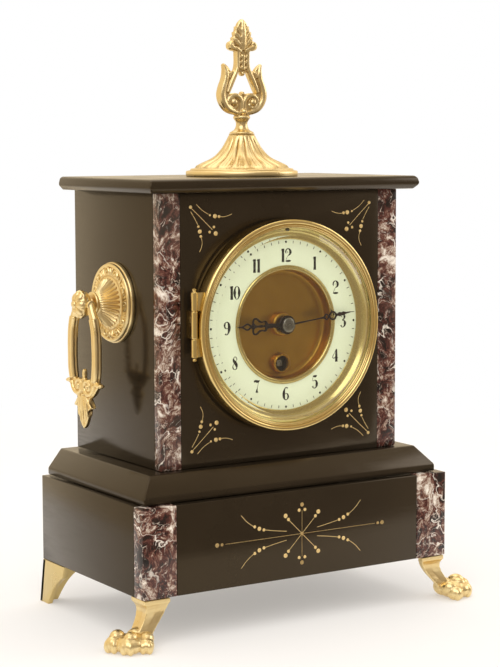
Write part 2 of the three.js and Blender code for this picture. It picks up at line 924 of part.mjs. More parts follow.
// The clock's face and movement: their own y runs backwards from the body's front face, from the dial's centre.
const face = new THREE.Group();
face.position.set(0, body.front, dialZ);
clock.add(face);

const hingeX = -(door.radius + hinge.standOff);

// One hinge knuckle about the door's axis, with a leaf towards a given x.
function doorKnuckle(z0, z1) {
  return post(hinge.radius, z0, z1, smallSteps, hingeX, -hinge.depth);
}

function pinHole() {
  const half = hinge.length / 2 + overrun;
  return post(hinge.pinRadius + fit, hinge.rise - half, hinge.rise + half, tinySteps, hingeX, -hinge.depth);
}

// The sight band sags between its outer edge at the front and its inner edge at the dial.
function sightBand() {
  const steps = 2;
  const corner = (_, i) => {
    const share = i / steps;
    const along = bezel.bandOuter + (bezel.bandInner - bezel.bandOuter) * share;
    const deep = -bezel.neck + (bezel.sill + bezel.neck) * share;
    return [along, deep + bezel.bandSag * Math.sin(Math.PI * share)];
  };
  return Array.from({ length: steps + 1 }, corner);
}

function bezelRing() {
  const tubeInner = bezel.tubeRadius - bezel.tubeWall;
  const ledge = bezel.tubeRadius - bezel.ledgeWall;
  const ledgeY = bezel.dialSeat + dial.chapter + dial.plate + 3 * seam;
  const rearY = movement.front - fit;
  const profile = [
    [bezel.flangeRadius, -seam],
    [bezel.flangeRadius, -bezel.flange],
    [bezel.neckRadius, -bezel.flange],
    [bezel.neckRadius, -bezel.neck],
    ...sightBand(),
    [bezel.bandInner, bezel.dialSeat],
    [tubeInner, bezel.dialSeat],
    [tubeInner, ledgeY],
    [ledge, ledgeY],
    [ledge, rearY - bezel.lip],
    [bezel.lipRadius, rearY - bezel.lip],
    [bezel.lipRadius, rearY],
    [bezel.tubeRadius, rearY],
    [bezel.tubeRadius, -seam],
  ];
  const half = hinge.middleLength / 2;
  const low = hinge.rise - half;
  const high = hinge.rise + half;
  const armOuter = hingeX - hinge.radius;
  const armInner = -(door.radius + fit);
  const pieces = [
    turned(profile, dialSteps),
    doorKnuckle(low, high),
    block([armOuter, -hinge.depth, low], [armInner, -seam, high]),
    block([armOuter, -bezel.flange, low], [-bezel.neckRadius, -seam, high]),
  ];
  const strapInner = movement.plateRadius + 2 * fit;
  const strapEnd = body.back - body.front + seam - fit;
  for (const side of [-1, 1]) {
    const near = side > 0 ? strapInner : -strapInner - bezel.strapWall;
    const from = [near, rearY - bezel.lip / 2, -bezel.strapWidth / 2];
    pieces.push(block(from, [near + bezel.strapWall, strapEnd, bezel.strapWidth / 2]));
  }
  return cut(join(...pieces), pinHole());
}

function bezelDoor() {
  const skirt = door.radius - door.skirtWall;
  const profile = [
    [door.radius, -door.rear],
    [door.radius, -door.front + door.groove],
    [door.rimRadius, -door.front],
    [door.grooveRadius, -door.front + door.groove],
    [door.beadRadius, -door.front + door.bead],
    [door.lipRadius, -door.pocketFront - seam],
    [door.lipRadius, -door.pocketFront],
    [door.pocketRadius, -door.pocketFront],
    [door.pocketRadius, -door.pocketRear],
    [skirt, -door.pocketRear + door.bead],
    [skirt, -door.rear],
  ];
  const half = hinge.length / 2;
  const gap = hinge.middleLength / 2 + fit;
  const pieces = [turned(profile, dialSteps)];
  const inside = bar(door.radius - door.skirtWall / 2, -door.front - overrun, overrun, dialSteps);
  for (const [low, high] of [
    [hinge.rise + gap, hinge.rise + half],
    [hinge.rise - half, hinge.rise - gap],
  ]) {
    const leaf = block(
      [hingeX, -hinge.depth - hinge.radius * 0.7, low],
      [-door.lipRadius, -hinge.depth + hinge.radius * 0.7, high],
    );
    pieces.push(join(cut(leaf, inside), doorKnuckle(low, high)));
  }
  return cut(join(...pieces), pinHole());
}

function bezelGlass() {
  const front = -door.pocketFront + seam;
  const back = front + glass.thickness;
  const profile = [
    [0, front],
    [glass.radius - glass.bevelWidth, front],
    [glass.radius, front + glass.bevelDrop],
    [glass.radius, back],
    [0, back],
  ];
  return turned(profile, dialSteps);
}

function hingePin() {
  const half = hinge.length / 2;
  return post(hinge.pinRadius, hinge.rise - half, hinge.rise + half, tinySteps, hingeX, -hinge.depth);
}

// Dial

const chapterFront = bezel.dialSeat + seam;
const chapterBack = chapterFront + dial.chapter;
const dialPlateFront = chapterBack + seam;
const dialPlateBack = dialPlateFront + dial.plate;
const panFloor = dialPlateFront + dial.panDepth;
const panBack = panFloor + dial.plate;

function chapterRing() {
  const profile = [
    [dial.chapterInner, chapterFront],
    [dial.radius, chapterFront],
    [dial.radius, chapterBack],
    [dial.chapterInner, chapterBack],
  ];
  return turned(profile, dialSteps);
}

function dialInnerRing() {
  const inner = dial.panRadius + seam;
  const outer = dial.chapterInner - fit;
  const front = chapterFront - dial.ringRise;
  const profile = [
    [dial.ringOuter, chapterFront - seam],
    [(dial.ringOuter + inner) / 2, front],
    [inner, front + dial.ringRise / 2],
    [inner, chapterBack],
    [outer, chapterBack],
    [outer, chapterFront - seam],
  ];
  return turned(profile, dialSteps);
}

// The dished plate behind the chapter ring, with its hub collar, winding grommet and three feet.
function dialPlate() {
  const collarFront = panFloor - dial.collarRise;
  const wall = dial.panRadius + dial.plate;
  const profile = [
    [dial.radius, dialPlateFront],
    [dial.radius, dialPlateBack],
    [wall, dialPlateBack],
    [wall, panBack],
    [0, panBack],
    [0, panFloor],
    [dial.panRadius, panFloor],
    [dial.panRadius, dialPlateFront],
  ];
  const collar = [
    [0, panBack],
    [dial.collarRadius, panBack],
    [dial.collarRadius, collarFront + dial.plate],
    [dial.collarRadius - dial.plate, collarFront],
    [0, collarFront],
  ];
  const drop = -dial.windingDrop;
  const grommet = bar(dial.grommetRadius, panFloor - dial.grommetRise, panBack, smallSteps, 0, drop);
  const open = [...profile.slice(5), ...profile.slice(0, 5)];
  const pieces = [turned(open, dialSteps), turned(collar, smallSteps), grommet];
  for (const angle of [90, 210, 330]) {
    const x = dial.footCircle * Math.cos(radians(angle));
    const z = dial.footCircle * Math.sin(radians(angle));
    pieces.push(bar(dial.footRadius, dialPlateFront + dial.plate / 2, movement.front - fit, tinySteps, x, z));
  }
  const through = [panFloor - dial.collarRise - overrun, panBack + overrun];
  const hole = bar(dial.grommetHole, ...through, smallSteps, 0, drop);
  return cut(join(...pieces), hole, bar(dial.hubRadius, ...through));
}

// Hands. They are drawn pointing to twelve and turned to the time.

// An openwork hand: a bar from the boss, two open frames and a leaf point.
function handPlate(reach, boss, hole, y0, frames) {
  const outline = mirroredOutline(frames.outer.map(([out, up]) => [out * boss, up * reach]));
  const holes = frames.open.map((half) => mirroredOutline(half.map(([out, up]) => [out * boss, up * reach])));
  const blade = plate(outline, y0, y0 + hands.thickness, holes);
  const disc = bar(boss, y0, y0 + hands.thickness, smallSteps);
  const bore = bar(hole, y0 - overrun, y0 + hands.thickness + overrun, smallSteps);
  return cut(join(blade, disc), bore);
}

// Shares of the boss's radius and of the hand's reach.
const hourFrameShares = {
  outer: [
    [0, 0.05],
    [0.18, 0.05],
    [0.18, 0.38],
    [0.5, 0.42],
    [0.82, 0.4],
    [0.84, 0.47],
    [0.56, 0.52],
    [0.84, 0.57],
    [0.82, 0.64],
    [0.4, 0.64],
    [0.2, 0.68],
    [0.46, 0.76],
    [0.16, 0.85],
    [0.08, 0.9],
    [0, 1],
  ],
  open: [
    [
      [0, 0.42],
      [0.34, 0.46],
      [0.2, 0.53],
      [0.34, 0.6],
      [0, 0.63],
    ],
    [
      [0, 0.7],
      [0.26, 0.76],
      [0, 0.83],
    ],
  ],
};
const minuteFrameShares = {
  outer: [
    [0, 0.05],
    [0.14, 0.05],
    [0.13, 0.5],
    [0.5, 0.55],
    [0.68, 0.6],
    [0.4, 0.66],
    [0.56, 0.71],
    [0.22, 0.76],
    [0.3, 0.84],
    [0.14, 0.93],
    [0, 1],
  ],
  open: [
    [
      [0, 0.54],
      [0.42, 0.6],
      [0, 0.65],
    ],
  ],
};

function handNut() {
  const back = -hands.minuteLift - hands.thickness - seam;
  const front = back - hands.nutDepth;
  const bore = cannon.endRadius + fit;
  const profile = [
    [0, front],
    [hands.nutRadius * 0.5, front + hands.nutDepth * 0.12],
    [hands.nutRadius * 0.86, front + hands.nutDepth * 0.5],
    [hands.nutRadius, back],
    [bore, back],
    [bore, back - hands.nutDepth / 2],
    [0, back - hands.nutDepth / 2],
  ];
  return turned(profile, smallSteps);
}

// Motion work

const cannon = { pipeRadius: 2, endRadius: 1.6, bore: 1.2 };
const hourPipe = { radius: 3.1, bore: cannon.pipeRadius + fit };
const motionDistance = ((motion.cannonTeeth + motion.minuteTeeth) * motion.module) / 2;
const minutePlace = { angle: 150 };
minutePlace.x = motionDistance * Math.cos(radians(minutePlace.angle));
minutePlace.z = motionDistance * Math.sin(radians(minutePlace.angle));

function cannonPinion() {
  const toMinute = radians(minutePlace.angle);
  const y0 = levels.cannonWheel;
  const y1 = y0 + levels.pinion;
  const leaves = plate(
    teethOutline(motion.cannonTeeth, motion.module, pinionLeafShares, toMinute, true),
    y0,
    y1,
  );
  const shoulder = -hands.minuteLift + fit;
  const end = -hands.minuteLift - hands.thickness - fit;
  const pipe = [
    [0, y1],
    [cannon.pipeRadius, y1],
    [cannon.pipeRadius, shoulder],
    [cannon.endRadius, shoulder],
    [cannon.endRadius, end],
    [0, end],
  ];
  const bore = bar(cannon.bore, end - overrun, y1 + overrun, tinySteps);
  return cut(join(leaves, turned(pipe, smallSteps)), bore);
}

// The minute wheel and its pinion, on a stud of the front plate. Its own origin is on the stud's axis.
function minuteWheel() {
  const toCentre = radians(minutePlace.angle + 180);
  const y0 = levels.minuteWheel;
  const big = plate(
    teethOutline(motion.minuteTeeth, motion.module, wheelToothShares, toCentre),
    y0,
    y0 + levels.motionWheel,
  );
  const small = plate(
    teethOutline(motion.minutePinion, motion.module, pinionLeafShares, toCentre, true),
    levels.hourWheel - seam,
    y0 + seam,
  );
  const stud = bar(motion.studRadius + fit, levels.hourWheel - overrun, y0 + overrun, tinySteps);
  return cut(join(big, small), stud);
}

function hourWheel() {
  const toMinute = radians(minutePlace.angle);
  const y0 = levels.hourWheel;
  const y1 = y0 + levels.motionWheel;
  const disc = plate(teethOutline(motion.hourTeeth, motion.module, wheelToothShares, toMinute), y0, y1);
  const pipe = bar(hourPipe.radius, -hands.hourLift - hands.thickness - seam, y1, smallSteps);
  const bore = bar(hourPipe.bore, -hands.minuteLift - overrun, y1 + overrun, smallSteps);
  return cut(join(disc, pipe), bore);
}

// Train: places of the arbors in the plane of the plates

function placeFrom(start, distance, angle) {
  return { x: start.x + distance * Math.cos(angle), z: start.z + distance * Math.sin(angle) };
}
const centre = { x: 0, z: 0 };
const barrelPlace = { x: 0, z: -dial.windingDrop };
const greatDistance = ((train.greatTeeth + train.intermediatePinion) * train.greatModule) / 2;
const centreDistance = ((train.intermediateTeeth + train.centrePinion) * train.intermediateModule) / 2;
const thirdDistance = ((train.centreTeeth + train.thirdPinion) * train.centreModule) / 2;
const escapeDistance = ((train.thirdTeeth + train.escapePinion) * train.thirdModule) / 2;

// The intermediate arbor lies where both its meshes have their distances, right of the centre line.
const drop = dial.windingDrop;
const intermediateZ = (greatDistance ** 2 - centreDistance ** 2 - drop ** 2) / (2 * drop);
const intermediatePlace = { x: Math.sqrt(centreDistance ** 2 - intermediateZ ** 2), z: intermediateZ };

// The escape arbor stands above the centre, and the third arbor to the left of both.
const escapePlace = { x: 0, z: centreDistance };
const rise = (escapePlace.z ** 2 + thirdDistance ** 2 - escapeDistance ** 2) / (2 * escapePlace.z);
const thirdPlace = { x: -Math.sqrt(thirdDistance ** 2 - rise ** 2), z: rise };
const palletAngle = (anchor.teethSpanned * Math.PI) / train.escapeTeeth;
const palletDistance = train.escapeRadius / Math.cos(palletAngle);
const anchorPlace = placeFrom(escapePlace, palletDistance, Math.PI / 2);

function heading(from, to) {
  return Math.atan2(to.z - from.z, to.x - from.x);
}

function barrelDrum() {
  const y0 = barrel.rear;
  const y1 = y0 + barrel.wheelThickness;
  const toNext = heading(barrelPlace, intermediatePlace);
  const teeth = plate(teethOutline(train.greatTeeth, train.greatModule, wheelToothShares, toNext), y0, y1);
  const drum = bar(barrel.drumRadius, barrel.front, y0 + seam, 2 * smallSteps);
  const bore = bar(barrel.arborRadius + fit, barrel.front - overrun, y1 + overrun, smallSteps);
  return cut(join(teeth, drum), bore);
}

function barrelArbor() {
  const plateBack = movement.front + movement.plate;
  const inside = plateBack + movement.between;
  const profile = [
    [0, winding.squareFront + fit],
    [winding.squareSide / 2, winding.squareFront + fit],
    [winding.squareSide / 2, plateBack + fit],
    [barrel.arborRadius, plateBack + fit],
    [barrel.arborRadius, inside - fit],
    [winding.squareSide / 2, inside - fit],
    [winding.squareSide / 2, inside + movement.plate],
    [0, inside + movement.plate],
  ];
  const half = winding.squareSide / 2;
  const end = movement.front - fit - winding.ratchet - fit;
  const square = block([-half, winding.squareFront, -half], [half, end, half]);
  return join(turned(profile, smallSteps), square);
}

function ratchetWheel() {
  const pitch = turn / winding.ratchetTeeth;
  const tipAngle = radians(click.beakAngle) - pitch * 0.3;
  const outline = [];
  for (let i = 0; i < winding.ratchetTeeth; i += 1) {
    const angle = tipAngle + i * pitch;
    const root = winding.ratchetRadius * 0.83;
    outline.push([root * Math.cos(angle - pitch * 0.06), root * Math.sin(angle - pitch * 0.06)]);
    outline.push([winding.ratchetRadius * Math.cos(angle), winding.ratchetRadius * Math.sin(angle)]);
  }
  const y1 = movement.front - fit;
  const hole = circle(winding.squareSide / 2 + fit, smallSteps);
  return plate(outline.reverse(), y1 - winding.ratchet, y1, [hole]);
}

// The click's own origin is its pivot. Its beak stands just clear of the ratchet's teeth.
function clickLever() {
  const y1 = movement.front - fit;
  const y0 = y1 - winding.ratchet;
  const angle = radians(click.beakAngle);
  const reach = winding.ratchetRadius + click.clearance;
  const beak = { x: reach * Math.cos(angle) - click.pivotX, z: reach * Math.sin(angle) + click.pivotDrop };
  const length = Math.hypot(beak.x, beak.z);
  const side = { x: -beak.z / length, z: beak.x / length };
  const half = click.width / 2;
  const outline = [
    [-side.x * half, -side.z * half],
    [beak.x * 0.8 - side.x * half, beak.z * 0.8 - side.z * half],
    [beak.x * 1.06 - side.x * half * 0.5, beak.z * 1.06 - side.z * half * 0.5],
    [beak.x, beak.z],
    [beak.x * 0.75 + side.x * half * 0.2, beak.z * 0.75 + side.z * half * 0.2],
    [side.x * half, side.z * half],
  ];
  const ordered = areaOf(outline) > 0 ? outline : outline.reverse();
  const lever = plate(ordered, y0, y1);
  const eye = bar(click.eye, y0, y1, smallSteps);
  const pin = bar(click.pinRadius, y0 + seam, movement.front + movement.plate, tinySteps);
  return join(lever, eye, pin);
}

function centreWheel() {
  const toThird = heading(centre, thirdPlace);
  const fromIntermediate = heading(centre, intermediatePlace);
  const shaft = [
    [0, -hands.minuteLift - hands.thickness - 2 * fit],
    [cannon.bore - fit, -hands.minuteLift - hands.thickness - 2 * fit],
    [cannon.bore - fit, movement.front + movement.plate + fit],
    [movement.centreArborRadius, movement.front + movement.plate + fit],
    [movement.centreArborRadius, movement.front + movement.plate + movement.between - fit],
    [movement.pivotRadius, movement.front + movement.plate + movement.between - fit],
    [movement.pivotRadius, movement.front + 2 * movement.plate + movement.between - seam],
    [0, movement.front + 2 * movement.plate + movement.between - seam],
  ];
  return join(
    turned(shaft, tinySteps),
    wheel(train.centreTeeth, train.centreModule, toThird, levels.centreWheel, levels.wheel, train.hubRadius),
    pinion(train.centrePinion, train.intermediateModule, fromIntermediate, levels.centrePinion, levels.pinion),
  );
}

function intermediateWheel() {
  const toCentre = heading(intermediatePlace, centre);
  const fromBarrel = heading(intermediatePlace, barrelPlace);
  const teeth = train.intermediateTeeth;
  return join(
    arbor(movement.arborRadius),
    wheel(teeth, train.intermediateModule, toCentre, levels.intermediateWheel, levels.wheel, train.hubRadius),
    pinion(train.intermediatePinion, train.greatModule, fromBarrel, levels.intermediatePinion, 1.3 * levels.pinion),
  );
}

function thirdWheel() {
  const toEscape = heading(thirdPlace, escapePlace);
  const fromCentre = heading(thirdPlace, centre);
  return join(
    arbor(movement.arborRadius),
    wheel(train.thirdTeeth, train.thirdModule, toEscape, levels.thirdWheel, levels.wheel, train.thirdHubRadius),
    pinion(train.thirdPinion, train.centreModule, fromCentre, levels.thirdPinion, levels.pinion),
  );
}

// The escape wheel has slender pointed teeth, with one straight up towards the anchor.
function escapeWheel() {
  const pitch = turn / train.escapeTeeth;
  const outline = [];
  for (let i = 0; i < train.escapeTeeth; i += 1) {
    const angle = Math.PI / 2 + i * pitch;
    const root = train.escapeRadius - train.toothDepth;
    for (const [share, radius] of [
      [-0.2, root],
      [0, train.escapeRadius],
      [0.2, root],
    ]) {
      outline.push([radius * Math.cos(angle + share * pitch), radius * Math.sin(angle + share * pitch)]);
    }
  }
  const y0 = levels.escapeWheel;
  const rim = train.escapeRadius - 1.5 * train.toothDepth;
  const holes = crossings(train.escapeHubRadius, rim, 3, train.escapeSpokeWidth, 3);
  const disc = plate(outline, y0, y0 + levels.wheel, holes);
  const fromThird = heading(escapePlace, thirdPlace);
  return join(
    arbor(movement.arborRadius),
    disc,
    pinion(train.escapePinion, train.thirdModule, fromThird, levels.escapePinion, levels.pinion),
  );
}

// The anchor's pallets at mid swing stand just outside the circle of the tooth tips. Behind the back plate,
// the same arbor carries the crutch, whose foot embraces the pendulum rod. The origin is on the arbor's axis.
function anchorWithCrutch() {
  const y0 = levels.escapeWheel + levels.wheel / 2 - anchor.thickness / 2;
  const y1 = y0 + anchor.thickness;
  const half = anchor.noseWidth / 2;
  const tip = train.escapeRadius + anchor.clearance;
  const nose = (radius, along) => [
    radius * Math.sin(palletAngle) + along * Math.cos(palletAngle),
    radius * Math.cos(palletAngle) - along * Math.sin(palletAngle) - palletDistance,
  ];
  const outline = mirroredOutline([
    [0, -anchor.arm],
    nose(tip + anchor.arm, -half),
    nose(tip, -half),
    nose(tip, half),
    nose(tip + anchor.arm, anchor.arm * 0.5),
    nose(tip + 2 * anchor.arm, 0),
    [0, anchor.arm],
  ]);
  const backPlate = movement.front + movement.plate + movement.between;
  const shaftEnd = backPlate + movement.plate + cock.stand - fit;
  const from = movement.front + movement.plate + fit;
  const shaft = [
    [0, movement.front + seam],
    [movement.pivotRadius, movement.front + seam],
    [movement.pivotRadius, from],
    [movement.arborRadius, from],
    [movement.arborRadius, shaftEnd],
    [movement.pivotRadius, shaftEnd],
    [movement.pivotRadius, shaftEnd + cock.plate],
    [0, shaftEnd + cock.plate],
  ];
  const crutchFront = backPlate + movement.plate + cock.stand * 0.3;
  const { crutchWidth } = anchor;
  const armBottom = -anchor.crutch;
  const arm = block([-crutchWidth, crutchFront, armBottom], [crutchWidth, crutchFront + crutchWidth, 0]);
  const forkHalf = pendulum.rodRadius + 2 * crutchWidth;
  const forkBack = rodDepth + 2.2 * pendulum.rodRadius;
  const forkPlate = block([-forkHalf, crutchFront, armBottom - crutchWidth], [forkHalf, forkBack, armBottom]);
  const slot = pendulum.rodRadius + fit;
  const slotTool = block(
    [-slot, rodDepth - pendulum.rodRadius - fit, armBottom - overrun],
    [slot, forkBack + overrun, armBottom + overrun],
  );
  return cut(join(turned(shaft, tinySteps), plate(outline, y0, y1), arm, forkPlate), slotTool);
}

// The plane of the pendulum rod, behind the suspension cock.
const cockBack = movement.front + 2 * movement.plate + movement.between + cock.stand + cock.plate;
const rodDepth = cockBack + 0.55 * cock.pin;

function suspensionCock() {
  const plateFace = cockBack - cock.plate;
  const foot0 = movement.front + 2 * movement.plate + movement.between + seam;
  const bridge = block([-cock.halfWidth, plateFace, -cock.drop], [cock.halfWidth, cockBack, cock.rise]);
  const leg = (from) => block([from, foot0, -cock.drop], [from + cock.leg, plateFace + seam, cock.rise]);
  const pin = bar(cock.pinRadius, cockBack - seam, cockBack + cock.pin, tinySteps);
  const head = bar(2 * cock.pinRadius, cockBack + cock.pin - cock.pinRadius, cockBack + cock.pin, tinySteps);
  const pivotHole = bar(movement.pivotHole, plateFace - overrun, cockBack - seam, tinySteps);
  const holed = cut(join(bridge, leg(-cock.halfWidth), leg(cock.halfWidth - cock.leg)), pivotHole);
  return join(holed, pin, head);
}

// Pendulum: its own origin is the suspension pin.
function pendulumRod() {
  const half = pendulum.eyeThickness / 2;
  const eye = bar(pendulum.eyeRadius, rodDepth - half, rodDepth + half, smallSteps);
  const hole = bar(cock.pinRadius + fit, rodDepth - overrun, rodDepth + overrun, tinySteps);
  const end = -pendulum.length - pendulum.bobRadius - 2 * pendulum.nut;
  const stem = post(pendulum.rodRadius, end, -cock.pinRadius - 2 * fit, tinySteps, 0, rodDepth);
  return cut(join(eye, stem), hole);
}

function pendulumBob() {
  const rim = pendulum.bobHalf * 0.25;
  const profile = [
    [0, -pendulum.bobHalf],
    [pendulum.bobRadius * 0.6, -pendulum.bobHalf * 0.75],
    [pendulum.bobRadius, -rim],
    [pendulum.bobRadius, rim],
    [pendulum.bobRadius * 0.6, pendulum.bobHalf * 0.75],
    [0, pendulum.bobHalf],
  ];
  const lens = turned(profile, smallSteps).translate(0, rodDepth, -pendulum.length);
  const reach = pendulum.bobRadius + overrun;
  const bore = post(
    pendulum.rodRadius + fit,
    -pendulum.length - reach,
    -pendulum.length + reach,
    tinySteps,
    0,
    rodDepth,
  );
  return cut(lens, bore);
}

function ratingNut() {
  const top = -pendulum.length - pendulum.bobRadius - fit;
  const disc = post(pendulum.nutRadius, top - pendulum.nut, top, smallSteps, 0, rodDepth);
  const bore = post(pendulum.rodRadius + fit, top - pendulum.nut - overrun, top + overrun, tinySteps, 0, rodDepth);
  return cut(disc, bore);
}

// Plates and pillars

const pillarPlaces = [50, 180, 310].map((angle) => placeFrom(centre, movement.pillarCircle, radians(angle)));

function holeAt({ x, z }, radius) {
  return circle(radius, tinySteps, x, z);
}

function frontPlate() {
  const holes = [
    holeAt(centre, cannon.bore),
    holeAt(barrelPlace, winding.squareSide / 2 + fit),
    holeAt({ x: click.pivotX, z: barrelPlace.z - click.pivotDrop }, click.pinRadius + fit),
    ...[intermediatePlace, thirdPlace, escapePlace, anchorPlace].map((p) => holeAt(p, movement.pivotHole)),
    ...pillarPlaces.map((p) => holeAt(p, movement.arborRadius + fit)),
  ];
  const y1 = movement.front + movement.plate;
  const disc = plate(circle(movement.plateRadius, dialSteps), movement.front, y1, holes);
  const studEnds = [levels.hourWheel - seam, movement.front + seam];
  const stud = bar(motion.studRadius, ...studEnds, tinySteps, minutePlace.x, minutePlace.z);
  return join(disc, stud);
}

function backPlate() {
  const holes = [
    ...[centre, intermediatePlace, thirdPlace, escapePlace].map((p) => holeAt(p, movement.pivotHole)),
    holeAt(barrelPlace, winding.squareSide / 2 + fit),
    holeAt(anchorPlace, movement.arborRadius + 2 * fit),
    ...pillarPlaces.map((p) => holeAt(p, movement.arborRadius + fit)),
  ];
  const y0 = movement.front + movement.plate + movement.between;
  return plate(circle(movement.plateRadius, dialSteps), y0, y0 + movement.plate, holes);
}

function pillar() {
  const from = movement.front + movement.plate + seam;
  const to = from + movement.between - 2 * seam;
  const profile = [
    [0, from - movement.plate],
    [movement.arborRadius, from - movement.plate],
    [movement.arborRadius, from],
    [movement.pillarRadius, from],
    [movement.pillarRadius * 0.7, from + movement.between / 2],
    [movement.pillarRadius, to],
    [movement.arborRadius, to],
    [movement.arborRadius, to + movement.plate],
    [0, to + movement.plate],
  ];
  return turned(profile, tinySteps);
}

// Back of the clock

const rearFace = body.back - body.front;
const rearHinge = { x: -(rear.doorRadius + rear.standOff), y: rearFace + rear.flange + rear.knuckleRadius + 2 * seam };

function rearKnuckle(z0, z1) {
  return post(rear.knuckleRadius, z0, z1, smallSteps, rearHinge.x, rearHinge.y);
}

function rearPinHole() {
  const half = rear.doorKnuckle / 2 + rear.knuckle + overrun;
  return post(hinge.pinRadius + fit, -half, half, tinySteps, rearHinge.x, rearHinge.y);
}

function rearRing() {
  const lipOuter = rear.holeRadius - fit;
  const profile = [
    [rear.flangeInner, rearFace + seam],
    [rear.flangeInner, rearFace + rear.flange],
    [rear.flangeRadius, rearFace + rear.flange],
    [rear.flangeRadius, rearFace + seam],
    [lipOuter, rearFace + seam],
    [lipOuter, rearFace - rear.lip],
    [lipOuter - rear.lipWall, rearFace - rear.lip],
    [lipOuter - rear.lipWall, rearFace + seam],
  ];
  const pieces = [turned(profile, dialSteps)];
  const near = rear.doorKnuckle / 2 + fit;
  for (const [low, high] of [
    [near, near + rear.knuckle],
    [-near - rear.knuckle, -near],
  ]) {
    const outside = rearHinge.x - rear.knuckleRadius;
    const riser = rearHinge.x + rear.knuckleRadius;
    pieces.push(rearKnuckle(low, high));
    pieces.push(block([outside, rearFace + seam, low], [riser, rearHinge.y, high]));
    pieces.push(block([outside, rearFace + seam, low], [-lipOuter, rearFace + rear.flange, high]));
  }
  return cut(join(...pieces), rearPinHole());
}

function rearDoor() {
  const y0 = rearFace + rear.flange + fit;
  const y1 = y0 + rear.door;
  const profile = [
    [0, y0],
    [rear.doorRadius, y0],
    [rear.doorRadius, y1],
    [rear.doorRadius - rear.door, y1 + rear.door / 3],
    [rear.doorRadius - 3 * rear.door, y1],
    [0, y1],
  ];
  const half = rear.doorKnuckle / 2;
  const leaf = block([rearHinge.x, y0, -half], [-rear.doorRadius + rear.standOff, y1, half]);
  const knob = bar(rear.knobRadius, y1 - seam, y1 + rear.door, smallSteps, rear.doorRadius * 0.86, 0);
  const whole = join(turned(profile, dialSteps), leaf, rearKnuckle(-half, half), knob);
  return cut(whole, rearPinHole());
}

function rearHingePin() {
  const half = rear.doorKnuckle / 2 + fit + rear.knuckle;
  return post(hinge.pinRadius, -half, half, tinySteps, rearHinge.x, rearHinge.y);
}

// Assembly

addPlinth();
clock.add(piece("chamfered_slab", chamferedSlab(), slate));
addBody();
clock.add(piece("top_slab", crownSlab(), slate));
addFeet();
addFinial();
addHandle("left", -1);
addHandle("right", 1);

face.add(piece("bezel_ring", bezelRing(), gilt));
face.add(piece("bezel_door", bezelDoor(), gilt));
face.add(piece("bezel_glass", bezelGlass(), clear));
face.add(piece("bezel_hinge_pin", hingePin(), brass));
face.add(piece("chapter_ring", chapterRing(), enamel));
face.add(piece("dial_inner_ring", dialInnerRing(), gilt));
face.add(piece("dial_plate", dialPlate(), panBrass));

const hourBack = -hands.hourLift - hands.thickness;
const hourHand = piece(
  "hour_hand",
  handPlate(hands.hourReach, hands.hourBoss, hourPipe.radius + fit, hourBack, hourFrameShares),
  blued,
);
hourHand.rotation.y = turn * hands.hourShare;
const minuteBack = -hands.minuteLift - hands.thickness;
const minuteHand = piece(
  "minute_hand",
  handPlate(hands.minuteReach, hands.minuteBoss, cannon.endRadius + fit, minuteBack, minuteFrameShares),
  blued,
);
minuteHand.rotation.y = turn * hands.minuteShare;
face.add(hourHand, minuteHand, piece("hand_nut", handNut(), steel));

face.add(piece("cannon_pinion", cannonPinion(), brass));
face.add(piece("hour_wheel", hourWheel(), brass));
face.add(piece("front_plate", frontPlate(), brass));
face.add(piece("back_plate", backPlate(), brass));
face.add(piece("centre_wheel", centreWheel(), brass));

// A piece whose own origin is on an axis in the plane of the plates.
function mounted(name, geometry, place, look = brass) {
  const mesh = piece(name, geometry, look);
  mesh.position.set(place.x, 0, place.z);
  face.add(mesh);
}
mounted("minute_wheel", minuteWheel(), minutePlace);
mounted("barrel", barrelDrum(), barrelPlace);
mounted("barrel_arbor", barrelArbor(), barrelPlace, steel);
mounted("ratchet_wheel", ratchetWheel(), barrelPlace);
mounted("click", clickLever(), { x: click.pivotX, z: barrelPlace.z - click.pivotDrop }, steel);
mounted("intermediate_wheel", intermediateWheel(), intermediatePlace);
mounted("third_wheel", thirdWheel(), thirdPlace);
mounted("escape_wheel", escapeWheel(), escapePlace);
mounted("anchor", anchorWithCrutch(), anchorPlace, steel);
mounted("suspension_cock", suspensionCock(), anchorPlace);
mounted("pendulum_rod", pendulumRod(), anchorPlace, steel);
mounted("pendulum_bob", pendulumBob(), anchorPlace);
mounted("rating_nut", ratingNut(), anchorPlace);
pillarPlaces.forEach((place, i) => mounted("pillar_" + (i + 1), pillar(), place));

face.add(piece("rear_ring", rearRing(), gilt));
face.add(piece("rear_door", rearDoor(), gilt));
face.add(piece("rear_hinge_pin", rearHingePin(), brass));

// The origin is on the floor under the middle of the whole clock.
clock.updateMatrixWorld(true);
const extent = new THREE.Box3().setFromObject(clock, true);
clock.position.y = -(extent.min.y + extent.max.y) / 2;

export default clock;
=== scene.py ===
import json
import math

import bmesh
import bpy
from mathutils import Matrix, Vector


